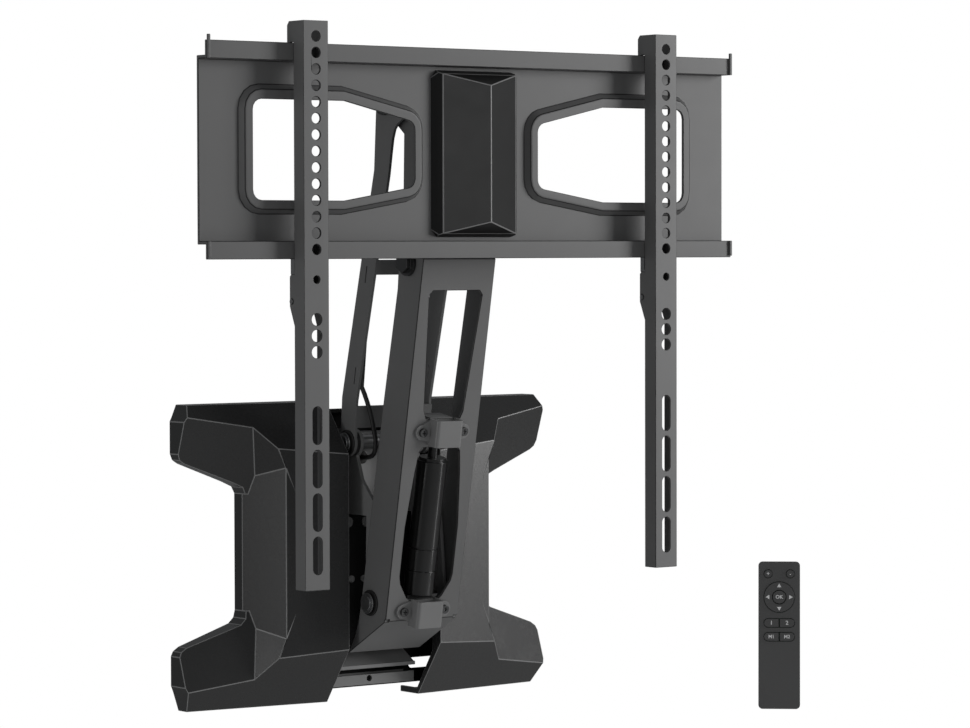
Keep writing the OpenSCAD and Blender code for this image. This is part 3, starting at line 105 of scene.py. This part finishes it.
class Graph:
    """The node tree of one material."""

    def __init__(self, name: str) -> None:
        """Start an empty material with a principled shader.

        Args:
            name: the material's name.
        """
        self.material = bpy.data.materials.new(name)
        self.material.use_nodes = True
        self.tree = self.material.node_tree
        self.tree.nodes.clear()
        self.shader = self.tree.nodes.new("ShaderNodeBsdfPrincipled")
        out = self.tree.nodes.new("ShaderNodeOutputMaterial")
        self.tree.links.new(self.shader.outputs[0], out.inputs[0])
        self.place = Sock(self, self.node("ShaderNodeTexCoord").outputs["Object"])

    def node(self, kind: str, settings: dict | None = None, inputs: dict | None = None) -> bpy.types.Node:
        """Add one node.

        Args:
            kind: Blender's name of the node type.
            settings: attributes that are set before the sockets.
            inputs: values or links of the input sockets.

        Returns:
            The new node.
        """
        made = self.tree.nodes.new(kind)
        for key, value in (settings or {}).items():
            setattr(made, key, value)
        for key, value in (inputs or {}).items():
            self.feed(made.inputs[key], value)
        return made

    def feed(self, socket: bpy.types.NodeSocket, value: Value | tuple) -> None:
        """Link or set one input socket.

        Args:
            socket: the input.
            value: a socket to link, or a plain value.
        """
        if isinstance(value, Sock):
            self.tree.links.new(value.socket, socket)
        else:
            socket.default_value = value

    def maths(self, operation: str, *values: Value) -> Sock:
        """One Math node on plain or linked numbers."""
        made = self.node("ShaderNodeMath", {"operation": operation}, dict(enumerate(values)))
        return Sock(self, made.outputs[0])

    def mix(self, factor: Value, low: Sock | tuple, high: Sock | tuple) -> Sock:
        """Blend two colours.

        Args:
            factor: share of the second colour.
            low: colour at 0.
            high: colour at 1.

        Returns:
            The blended colour.
        """
        made = self.node("ShaderNodeMix", {"data_type": "RGBA"}, {0: factor, 6: low, 7: high})
        return Sock(self, made.outputs[2])

    def noise(self, scale: float, detail: float = 2.0, stretch: Point = (1, 1, 1)) -> Sock:
        """Noise on object coordinates.

        Args:
            scale: features per metre.
            detail: octaves.
            stretch: scale of each axis, for brushed or streaked surfaces.

        Returns:
            The noise value from 0 to 1.
        """
        mapped = self.node("ShaderNodeMapping", {}, {"Vector": self.place, "Scale": stretch})
        inputs = {"Vector": Sock(self, mapped.outputs[0]), "Scale": scale, "Detail": detail,
                  "Roughness": NOISE_ROUGH}
        made = self.node("ShaderNodeTexNoise", {}, inputs)
        return Sock(self, made.outputs["Fac"])

    def axis(self, name: str) -> Sock:
        """One object coordinate, X, Y or Z, in metres."""
        made = self.node("ShaderNodeSeparateXYZ", {}, {"Vector": self.place})
        return Sock(self, made.outputs[name])

    def bump(self, height: Sock, strength: float, distance: float) -> None:
        """Feed a bump into the shader's normal.

        Args:
            height: the pattern.
            strength: share of the bump that shows.
            distance: the pattern's height in metres.
        """
        inputs = {"Height": height, "Strength": strength, "Distance": distance}
        made = self.node("ShaderNodeBump", {}, inputs)
        self.tree.links.new(made.outputs[0], self.shader.inputs["Normal"])

    def set(self, name: str, value: Value | tuple) -> None:
        """Set or link one input of the shader."""
        self.feed(self.shader.inputs[name], value)


def grey(value: float, tint: float = 0.0) -> Colour:
    """A near neutral colour.

    Args:
        value: linear brightness.
        tint: share by which blue is raised and red lowered.

    Returns:
        The colour with full alpha.
    """
    return (value * (1 - tint), value, value * (1 + tint), 1.0)


def shade(colour: Colour, share: float) -> Colour:
    """A colour with its brightness multiplied by share."""
    return tuple(c * share for c in colour[:3]) + (1.0,)


@dataclass(frozen=True)
class Coat:
    """Satin paint, powder coat or moulded plastic with a fine skin.

    Scales are features per metre and lengths are metres. The cloud is the share by which the brightness
    drifts, and the spread is how far smears change the roughness. A coat may have another colour on what
    lies in front of a plane and below a level: on the wall plate the tray folded out of it keeps a lighter
    grey, and the plate's near black main colour above and behind the tray is painted shade.
    """

    name: str
    colour: Colour
    rough: float = 0.42
    spread: float = 0.06
    grain: float = 1400.0
    bump: float = 0.12
    depth: float = 0.00004
    cloud: float = 0.1
    coat: float = 0.0
    specular: float = 0.5
    low: Colour | None = None
    level: float = 0.0
    level_blend: float = 0.0005
    front: float = -0.0034
    front_blend: float = 0.0002
    cloud_scale: float = 14.0
    smear_scale: float = 60.0
    skin_rough: float = 0.05

    def make(self) -> bpy.types.Material:
        """Build the material.

        Returns:
            The new material.
        """
        graph = Graph(self.name)
        cloud = graph.noise(self.cloud_scale, 3.0)
        skin = graph.noise(self.grain, 2.0)
        smear = graph.noise(self.smear_scale, 3.0)
        base = graph.mix(cloud, shade(self.colour, 1 - self.cloud), shade(self.colour, 1 + self.cloud))
        # On the wall plate this split keeps the tray lighter and paints the rest near black as painted
        # shade.
        if self.low:
            above = graph.axis("Z").smooth(self.level - self.level_blend, self.level + self.level_blend)
            wall = graph.axis("Y").smooth(self.front - self.front_blend, self.front + self.front_blend)
            base = graph.mix(above + wall - above * wall, self.low, base)
        graph.set("Base Color", base)
        rough = self.rough + self.spread * (smear - 0.5)
        graph.set("Roughness", rough + self.skin_rough * (skin - 0.5))
        graph.set("Specular IOR Level", self.specular)
        graph.set("Coat Weight", self.coat)
        graph.bump(skin, self.bump, self.depth)
        return graph.material


@dataclass(frozen=True)
class Metal:
    """Plated or machined metal with fine turning streaks, scales per metre and lengths in metres."""

    name: str
    colour: Colour
    rough: float = 0.32
    streak: Point = (1.0, 1.0, 12.0)
    line_scale: float = 420.0
    spot_scale: float = 90.0
    spot_share: float = 0.82
    line_rough: float = 0.16
    spot_rough: float = 0.1
    bump: float = 0.15
    depth: float = 0.00003

    def make(self) -> bpy.types.Material:
        """Build the material.

        Returns:
            The new material.
        """
        graph = Graph(self.name)
        lines = graph.noise(self.line_scale, 3.0, self.streak)
        spots = graph.noise(self.spot_scale, 2.0)
        graph.set("Base Color", graph.mix(spots, shade(self.colour, self.spot_share), self.colour))
        graph.set("Metallic", 1.0)
        rough = self.rough + self.line_rough * (lines - 0.5)
        graph.set("Roughness", rough + self.spot_rough * (spots - 0.5))
        graph.bump(lines, self.bump, self.depth)
        return graph.material


class Finish(Enum):
    """Every finish of the mount and its remote control."""

    POWDER = Coat("powder_coat", grey(0.125), rough=0.44)
    ARM = Coat("arm_coat", grey(0.145), rough=0.44)
    SADDLE = Coat("saddle_coat", grey(0.20), rough=0.30)
    RAIL = Coat("rail_coat", grey(0.145), rough=0.42)
    LIGHT = Coat("light_coat", grey(0.20), rough=0.44)
    # The control box and lid get a raised light grey as painted light, brightening them where they sit in
    # shade between the arms.
    PANEL_PAINTED_LIGHT = Coat("box_panel_painted_light", grey(0.42), rough=0.5)
    # The wall plate's near black colour is painted shade; the tray in front and below the level keeps a
    # lighter grey.
    WALL_PAINTED_SHADE = Coat("wall_plate_painted_shade", grey(0.008), rough=0.6, specular=0.15, low=grey(0.30), level=-0.0855)
    COVER = Coat("cover_plastic", grey(0.024), rough=0.27, grain=2200.0, bump=0.06)
    DOME = Coat("dome_plastic", grey(0.013), rough=0.36, specular=0.32, grain=2200.0, bump=0.08)
    ENAMEL = Coat("black_enamel", grey(0.006), rough=0.30, bump=0.03, coat=0.3)
    RUBBER = Coat("black_plastic", grey(0.012), rough=0.5)
    # Thin light lines on the bevelled ridges of the covers and the dome are painted highlights.
    RIDGE_HIGHLIGHT = Coat("ridge_painted_highlight", grey(0.24), rough=0.3, grain=2200.0, bump=0.04)
    # Dark lines on the bevelled folds and the key edges are painted shade.
    FOLD_SHADE = Coat("fold_painted_shade", grey(0.014), rough=0.4, bump=0.06)
    REMOTE = Coat("remote_plastic", grey(0.095), rough=0.5, grain=2600.0)
    KEY = Coat("key_plastic", grey(0.09), rough=0.45, grain=2600.0)
    MARK = Coat("white_print", grey(0.92), rough=0.6, grain=2600.0, bump=0.02, cloud=0.02)
    BOARD = Coat("board_green", (0.02, 0.12, 0.05, 1.0), rough=0.4)
    CORD = Coat("cord_rubber", grey(0.008), rough=0.5, grain=3200.0, bump=0.2)
    DARK_ZINC = Metal("blackened_steel", grey(0.10, 0.01), rough=0.36)
    ZINC = Metal("zinc_steel", grey(0.36, 0.01), rough=0.34)
    BRONZE = Metal("bronze", (0.52, 0.36, 0.14, 1.0), rough=0.35)


class Paint:
    """Makes each finish once and hands it out."""

    made: dict[Finish, bpy.types.Material] = {}

    @classmethod
    def of(cls, finish: Finish) -> bpy.types.Material:
        """The material of a finish, made at its first use.

        Args:
            finish: the finish.

        Returns:
            Its material.
        """
        if finish not in cls.made:
            cls.made[finish] = finish.value.make()
        return cls.made[finish]


@dataclass
class Dress:
    """Softens the edges of CAD nodes and gives them a finish.

    The width is in millimetres and 0 leaves the edges sharp. Edges that turn by more than the angle, in
    degrees, are softened, and may have a finish of their own, which here is a painted highlight along
    ridges or a painted shade line along folds. Where clamp is off, short edges don't thin the others.
    """

    finish: Finish
    width: float = 0.5
    segments: int = 2
    angle: float = 28.0
    edge: Finish | None = None
    clamp: bool = True

    def on(self, *names: str) -> None:
        """Dress CAD nodes.

        Args:
            names: the nodes' names.
        """
        for name in names:
            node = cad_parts[name]
            node.data.materials.clear()
            node.data.materials.append(Paint.of(self.finish))
            weld = node.modifiers.new("weld", "WELD")
            weld.merge_threshold = WELD_GAP
            flat = node.modifiers.new("flat", "DECIMATE")
            flat.decimate_type = "DISSOLVE"
            flat.angle_limit = math.radians(FLAT_ANGLE)
            if self.width:
                bevel = node.modifiers.new("bevel", "BEVEL")
                bevel.width = self.width * MM
                bevel.segments = self.segments
                bevel.limit_method = "ANGLE"
                bevel.angle_limit = math.radians(self.angle)
                bevel.use_clamp_overlap = self.clamp
                # Bevel faces may take the edge finish: a painted highlight on ridges or a painted shade
                # line on folds.
                if self.edge:
                    node.data.materials.append(Paint.of(self.edge))
                    bevel.material = 1
            for face in node.data.polygons:
                face.use_smooth = True
            weight = node.modifiers.new("weight", "WEIGHTED_NORMAL")
            weight.keep_sharp = True
            LOG.info("dressed %s in %s", name, self.finish.name)


def piece(name: str, shape: bmesh.types.BMesh, finish: Finish, body: str) -> bpy.types.Object:
    """Turn a bmesh into a piece that rides on a CAD body.

    Args:
        name: the piece's name.
        shape: its bmesh, which is freed.
        finish: its finish.
        body: the CAD body that carries it.

    Returns:
        The new object.
    """
    bmesh.ops.remove_doubles(shape, verts=shape.verts, dist=DOUBLE_GAP)
    bmesh.ops.recalc_face_normals(shape, faces=shape.faces)
    mesh = bpy.data.meshes.new(name)
    shape.to_mesh(mesh)
    shape.free()
    made = bpy.data.objects.new(name, mesh)
    bpy.context.scene.collection.objects.link(made)
    mesh.materials.append(Paint.of(finish))
    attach(made, body)
    LOG.info("built %s on %s", name, body)
    return made


@dataclass
class HeadCable:
    """Lead from the control box along the rear arm to the swivel motor in the TV plate.

    Lengths are in millimetres. A bend is its start, the point that it is pulled towards, its end and its
    number of steps. Points that are no more than the least step apart are made one.
    """

    radius: float = 1.9
    gland: Point = (-17.0, -9.6, 77.0)
    loop: tuple[Bend, ...] = (
        ((-17, -36, 77), (-21, -50, 77), (-25, -61, 80), 5),
        ((-25, -61, 80), (-26, -67, 82), (-26, -67, 92), 4),
        ((-26, -67, 92), (-30.5, -67, 118), (-33.5, -58, 136), 6),
    )
    strip: Point = (-33.5, -66, 203)
    climb: tuple[Bend, ...] = (
        ((-33.5, -73, 238), (-33.5, -80, 262), (-28, -98, 268), 6),
        ((-28, -98, 268), (-26.3, -112, 272), (-26.3, -122, 288), 5),
        ((-26.3, -126, 305), (-26.3, -130, 338), (-16, -134, 338), 6),
        ((-16, -134, 338), (-12, -135.5, 338), (-12, -142, 338), 3),
        ((-12, -150, 338), (-12, -175, 338), (-12, -176, 348), 5),
        ((-12, -176, 348), (-11, -176, 355), (-6, -176, 355), 4),
    )
    motor: tuple[Point, Point] = ((-2.0, -176.0, 352.0), (-2.0, -176.0, 343.0))
    least_step: float = 1.0
    rings: int = 6

    def pull(self, start: Point, mid: Point, end: Point, steps: int) -> list[Vector]:
        """A smooth bend.

        Args:
            start: its first point.
            mid: the point that it is pulled towards.
            end: its last point.
            steps: stretches from point to point.

        Returns:
            The bend's points, with both ends.
        """
        a, b, c = Vector(start), Vector(mid), Vector(end)
        shares = [i / steps for i in range(steps + 1)]
        return [(1 - t) ** 2 * a + 2 * t * (1 - t) * b + t * t * c for t in shares]

    def route(self) -> list[Vector]:
        """The whole route: gland, loop, the rear arm's left strip, head and swivel motor.

        Returns:
            The route's points in millimetres.
        """
        points = [Vector(self.gland)]
        for bend in self.loop:
            points += self.pull(*bend)
        points.append(Vector(self.strip))
        for bend in self.climb:
            points += self.pull(*bend)
        points += [Vector(point) for point in self.motor]
        clean = [points[0]]
        for point in points[1:]:
            if (point - clean[-1]).length > self.least_step:
                clean.append(point)
        return clean

    def build(self) -> None:
        route = [point * MM for point in self.route()]
        data = bpy.data.curves.new("head_cable_lead", "CURVE")
        data.dimensions = "3D"
        data.bevel_depth = self.radius * MM
        data.bevel_resolution = self.rings
        data.use_fill_caps = True
        spline = data.splines.new("POLY")
        spline.points.add(len(route) - 1)
        for point, place in zip(spline.points, route):
            point.co = (*place, 1.0)
        spline.use_smooth = True
        lead = bpy.data.objects.new("head_cable_lead", data)
        bpy.context.scene.collection.objects.link(lead)
        data.materials.append(Paint.of(Finish.CORD))
        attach(lead, "rear_link")
        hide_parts("head_cable")
        length = sum((b - a).length for a, b in zip(route, route[1:]))
        LOG.info("laid the head cable, %.3f m", length)


@dataclass
class RemoteMarks:
    """Printed arrows, numbers and signs on the keys of the remote control, in millimetres and degrees."""

    centre: Point = (323.0, -166.0, -80.6)
    turn: float = -41.4
    tip: float = 5.8
    face: float = -6.4
    skin: float = 0.12
    pad: tuple[float, float] = (0.0, 32.2)
    arrow_at: float = 9.4
    arrow_r: float = 2.1
    round_x: float = 9.4
    round_z: float = 51.9
    pill_x: float = 6.6
    pill_z: tuple[float, float] = (10.3, -1.4)
    ok_size: float = 4.2
    number_size: float = 4.6
    memory_size: float = 4.0
    round_size: float = 4.4
    bold: float = 0.09
    curve_steps: int = 3

    def matrix(self) -> Matrix:
        """Place of the remote's middle, its face towards the viewer.

        Returns:
            The matrix from the remote's own axes to the frame.
        """
        turned = Matrix.Rotation(math.radians(self.turn), 4, "Z")
        tipped = Matrix.Rotation(math.radians(-self.tip), 4, "X")
        return Matrix.Translation(Vector(self.centre) * MM) @ turned @ tipped

    def place(self, shape: bmesh.types.BMesh, x: float, z: float) -> None:
        """Stand a flat mark, drawn in millimetres in the XY plane, on the face at x and z."""
        stand = Matrix.Translation((x * MM, self.face * MM, z * MM)) @ Matrix.Rotation(math.pi / 2, 4, "X")
        shape.transform(self.matrix() @ stand @ Matrix.Scale(MM, 4))

    def arrow(self, name: str, x: float, z: float, quarter: int) -> None:
        """One small triangle.

        Args:
            name: the piece's name.
            x: its place across the remote.
            z: its place along the remote.
            quarter: quarter turns from up, through left and down, to right.
        """
        shape = bmesh.new()
        bmesh.ops.create_circle(shape, cap_ends=True, segments=3, radius=self.arrow_r)
        bmesh.ops.rotate(shape, verts=shape.verts, matrix=Matrix.Rotation(quarter * math.pi / 2, 3, "Z"))
        self.thicken(shape)
        self.place(shape, x, z)
        piece(name, shape, Finish.MARK, self.body(name))

    def thicken(self, shape: bmesh.types.BMesh) -> None:
        """Give a flat mark its thickness.

        Args:
            shape: the mark, drawn in the XY plane.
        """
        made = bmesh.ops.extrude_face_region(shape, geom=list(shape.faces))
        up = [item for item in made["geom"] if isinstance(item, bmesh.types.BMVert)]
        bmesh.ops.translate(shape, verts=up, vec=(0, 0, self.skin))

    def body(self, name: str) -> str:
        """The key that carries a mark, which is the first part of its name."""
        return "b_" + name.split("-")[0]

    def sign(self, name: str, words: str, size: float, x: float, z: float) -> None:
        """One printed number or short key sign.

        Args:
            name: the piece's name.
            words: what it says.
            size: its letters' size.
            x: its place across the remote.
            z: its place along the remote.
        """
        data = bpy.data.curves.new("sign", "FONT")
        data.body = words
        data.size = size
        data.align_x = "CENTER"
        data.align_y = "CENTER"
        data.extrude = self.skin / 2
        data.offset = self.bold
        data.resolution_u = self.curve_steps
        made = bpy.data.objects.new("sign", data)
        bpy.context.scene.collection.objects.link(made)
        bpy.context.view_layer.update()
        mesh = bpy.data.meshes.new_from_object(made.evaluated_get(bpy.context.evaluated_depsgraph_get()))
        shape = bmesh.new()
        shape.from_mesh(mesh)
        bpy.data.objects.remove(made)
        bpy.data.meshes.remove(mesh)
        self.place(shape, x, z)
        piece(name, shape, Finish.MARK, self.body(name))

    def build(self) -> None:
        """Make every mark."""
        px, pz = self.pad
        arrows = (("up", 0, 1), ("left", -1, 0), ("down", 0, -1), ("right", 1, 0))
        for quarter, (way, dx, dz) in enumerate(arrows):
            self.arrow("key_pad-" + way, px + dx * self.arrow_at, pz + dz * self.arrow_at, quarter)
        self.sign("key_ok-sign", "OK", self.ok_size, px, pz)
        self.sign("key_1-sign", "1", self.number_size, -self.pill_x, self.pill_z[0])
        self.sign("key_2-sign", "2", self.number_size, self.pill_x, self.pill_z[0])
        self.sign("key_m1-sign", "M1", self.memory_size, -self.pill_x, self.pill_z[1])
        self.sign("key_m2-sign", "M2", self.memory_size, self.pill_x, self.pill_z[1])
        self.sign("key_a-sign", "+", self.round_size, -self.round_x, self.round_z)
        self.sign("key_b-sign", "-", self.round_size, self.round_x, self.round_z)


@dataclass
class HolePlugs:
    """Low plugs in the wall plate's four pass holes, in millimetres.

    Each place is x, z and the hole's radius. A plug reaches from the inset in front of the plate's back to
    its head in front of the plate's face.
    """

    places: tuple[Point, ...] = ((9.0, 21.5, 4.5), (-9.0, 21.5, 4.5), (6.0, -26.0, 3.0), (-6.0, -26.0, 3.0))
    face: float = -3.0
    head: float = 1.2
    crown: float = 0.5
    gap: float = 0.05
    inset: float = 0.4
    sides: int = 40
    tolerance: float = 0.01

    def build(self) -> None:
        """Make one domed plug for each hole."""
        shape = bmesh.new()
        length = self.head - self.face - self.inset
        middle = (self.face - self.head - self.inset) / 2
        turn = Matrix.Rotation(math.pi / 2, 4, "X")
        for x, z, hole in self.places:
            radius = hole - self.gap
            made = bmesh.ops.create_cone(shape, cap_ends=True, segments=self.sides, radius1=radius,
                                         radius2=radius, depth=length)
            spot = Matrix.Translation((x, middle, z)) @ turn
            bmesh.ops.transform(shape, matrix=spot, verts=made["verts"])
            rim = [e for e in shape.edges if all(v in made["verts"] for v in e.verts)
                   and all(abs(v.co.y - (self.face - self.head)) < self.tolerance for v in e.verts)]
            bmesh.ops.bevel(shape, geom=rim, offset=self.crown, segments=3, profile=0.5, affect="EDGES",
                            material=-1)
        shape.transform(Matrix.Scale(MM, 4))
        piece("plate_plugs", shape, Finish.LIGHT, "base")


@dataclass(frozen=True)
class Lamp:
    """One soft area lamp.

    It has a place, the point that it faces, its width and height, all in metres, and its power in watts.
    """

    name: str
    place: Point
    aim: Point
    size: tuple[float, float]
    watts: float

    def build(self) -> None:
        """Hang the lamp."""
        data = bpy.data.lights.new(self.name, "AREA")
        data.shape = "RECTANGLE"
        data.size, data.size_y = self.size
        data.energy = self.watts
        lamp = bpy.data.objects.new(self.name, data)
        bpy.context.scene.collection.objects.link(lamp)
        lamp.location = self.place
        lamp.rotation_euler = (Vector(self.aim) - Vector(self.place)).to_track_quat("-Z", "Y").to_euler()


def split_view(tree: bpy.types.NodeTree, output: str, lit: str, seen: str) -> list[bpy.types.Node]:
    """Show one shader to the camera and another one to light and gloss.

    Args:
        tree: node tree of a world or a material, which is emptied.
        output: type of its output node.
        lit: type of the shader for light and gloss.
        seen: type of the shader for the camera.

    Returns:
        Both shaders, the one for light and gloss first.
    """
    tree.nodes.clear()
    out = tree.nodes.new(output)
    path = tree.nodes.new("ShaderNodeLightPath")
    shaders = [tree.nodes.new(kind) for kind in (lit, seen)]
    pick = tree.nodes.new("ShaderNodeMixShader")
    tree.links.new(path.outputs["Is Camera Ray"], pick.inputs[0])
    for socket, shader in enumerate(shaders, start=1):
        tree.links.new(shader.outputs[0], pick.inputs[socket])
    tree.links.new(pick.outputs[0], out.inputs[0])
    return shaders


@dataclass
class Studio:
    """Camera, lamps, floor and backdrop, in metres and degrees."""

    place: Point = (-1.8143, -2.5867, 0.24875)
    yaw: float = 37.014
    pitch: float = -1.951
    roll: float = -0.137
    focal_px: float = 3801.98
    frame_w: int = 970
    centre_drop: float = 13.31
    sensor: float = 36.0
    reach: tuple[float, float] = (0.1, 50.0)
    floor_z: float = -1.2
    floor_half: float = 20.0
    floor_colour: Colour = (0.8, 0.8, 0.8, 1.0)
    air: Colour = (0.96, 0.98, 1.0, 1.0)
    air_light: float = 0.17
    lamps: tuple[Lamp, ...] = (
        Lamp("key", (2.5, -2.0, 0.85), (0, -0.1, 0.15), (1.2, 1.8), 50),
        Lamp("left", (-2.4, -0.25, 0.35), (0, -0.1, 0.15), (0.7, 1.8), 8),
        Lamp("strip", (2.4, -2.1, -0.55), (0, -0.1, 0.05), (0.3, 1.1), 4),
        Lamp("fill", (-0.7, -3.4, 0.5), (0, -0.1, 0.15), (0.8, 0.8), 9),
    )

    def camera(self) -> None:
        """Set the camera at the photograph's place."""
        data = bpy.data.cameras.new("camera")
        cam = bpy.data.objects.new("camera", data)
        bpy.context.scene.collection.objects.link(cam)
        data.sensor_width = self.sensor
        data.lens = self.sensor * self.focal_px / self.frame_w
        data.shift_y = self.centre_drop / self.frame_w
        data.clip_start, data.clip_end = self.reach
        yaw, pitch, roll = (math.radians(a) for a in (self.yaw, self.pitch, self.roll))
        ahead = Vector((math.sin(yaw) * math.cos(pitch), math.cos(yaw) * math.cos(pitch), math.sin(pitch)))
        turn = ahead.to_track_quat("-Z", "Y").to_matrix().to_4x4() @ Matrix.Rotation(roll, 4, "Z")
        cam.matrix_world = Matrix.Translation(self.place) @ turn
        bpy.context.scene.camera = cam

    def world(self) -> None:
        """A weak pale world that is white to the camera."""
        world = bpy.data.worlds.new("studio")
        bpy.context.scene.world = world
        world.use_nodes = True
        back, white = split_view(world.node_tree, "ShaderNodeOutputWorld", "ShaderNodeBackground",
                                 "ShaderNodeBackground")
        back.inputs["Color"].default_value = self.air
        back.inputs["Strength"].default_value = self.air_light
        white.inputs["Color"].default_value = WHITE

    def floor(self) -> None:
        """A wide pale floor that is white to the camera."""
        mesh = bpy.data.meshes.new("floor")
        shape = bmesh.new()
        bmesh.ops.create_grid(shape, x_segments=1, y_segments=1, size=self.floor_half)
        bmesh.ops.translate(shape, verts=shape.verts, vec=(0, 0, self.floor_z))
        shape.to_mesh(mesh)
        shape.free()
        floor = bpy.data.objects.new("floor", mesh)
        bpy.context.scene.collection.objects.link(floor)
        material = bpy.data.materials.new("floor")
        material.use_nodes = True
        matt, glow = split_view(material.node_tree, "ShaderNodeOutputMaterial", "ShaderNodeBsdfDiffuse",
                                "ShaderNodeEmission")
        matt.inputs["Color"].default_value = self.floor_colour
        glow.inputs["Color"].default_value = WHITE
        mesh.materials.append(material)

    def build(self) -> None:
        """Make the whole studio."""
        self.camera()
        self.world()
        self.floor()
        for lamp in self.lamps:
            lamp.build()
        bpy.context.scene.view_settings.view_transform = "Standard"


# Each row is a dress and the CAD nodes that wear it. Dark fold edges are painted shade and light ridge
# edges are painted highlights.
WARDROBE: tuple[tuple[Dress, tuple[str, ...]], ...] = (
    (Dress(Finish.POWDER), ("head_bracket", "end_stops")),
    (Dress(Finish.POWDER, 0.5, edge=Finish.FOLD_SHADE, clamp=False), ("tv_plate",)),
    (Dress(Finish.WALL_PAINTED_SHADE), ("wall_plate",)),
    (Dress(Finish.ARM, 0.6, edge=Finish.FOLD_SHADE, clamp=False), ("front_arm",)),
    (Dress(Finish.ARM), ("motor_hanger", "rear_arm")),
    (Dress(Finish.SADDLE), ("saddle_upper", "saddle_lower")),
    (Dress(Finish.RAIL, 0.45, edge=Finish.FOLD_SHADE, clamp=False), ("rail_l", "rail_r")),
    (Dress(Finish.LIGHT), ("bracket_l", "bracket_r", "bottom_bar")),
    (Dress(Finish.PANEL_PAINTED_LIGHT), ("control_box", "control_lid")),
    (Dress(Finish.ZINC, 0.2), ("front_shaft", "rear_shaft", "shaft_clips", "cover_screws", "swivel_pin",
                               "swivel_motor", "latch_l", "latch_r")),
    (Dress(Finish.DARK_ZINC, 0.2), ("front_bolts", "rear_bolts", "saddle_screws")),
    (Dress(Finish.ZINC, 0.0), ("latch_spring_l", "latch_spring_r", "worm", "swivel_pinion",
                               "remote_cells")),
    (Dress(Finish.BRONZE, 0.1), ("worm_wheel", "swivel_gear")),
    (Dress(Finish.COVER, 0.5, angle=12.0, edge=Finish.RIDGE_HIGHLIGHT, clamp=False), ("cover_l", "cover_r")),
    (Dress(Finish.DOME, 0.6, angle=8.0, edge=Finish.RIDGE_HIGHLIGHT, clamp=False), ("centre_cover",)),
    (Dress(Finish.ENAMEL, 0.4), ("motor_tube", "gear_head", "gearbox")),
    (Dress(Finish.RUBBER, 0.3), ("cable_gland", "power_socket", "front_bushes", "rear_bushes")),
    (Dress(Finish.BOARD, 0.1), ("circuit_board", "remote_board")),
    (Dress(Finish.REMOTE, 0.4), ("remote_face", "remote_back")),
    (Dress(Finish.KEY, 0.35, edge=Finish.FOLD_SHADE), ("key_a", "key_b", "key_pad", "key_ok", "key_1", "key_2",
                                                 "key_m1", "key_m2")),
)


def main() -> None:
    """Build the studio and the new pieces and dress every node."""
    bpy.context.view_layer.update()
    Studio().build()
    HeadCable().build()
    HolePlugs().build()
    RemoteMarks().build()
    for dress, nodes in WARDROBE:
        dress.on(*nodes)


if __name__ == "__main__":
    logging.basicConfig(level=logging.INFO, format="%(name)s: %(message)s")
    main()
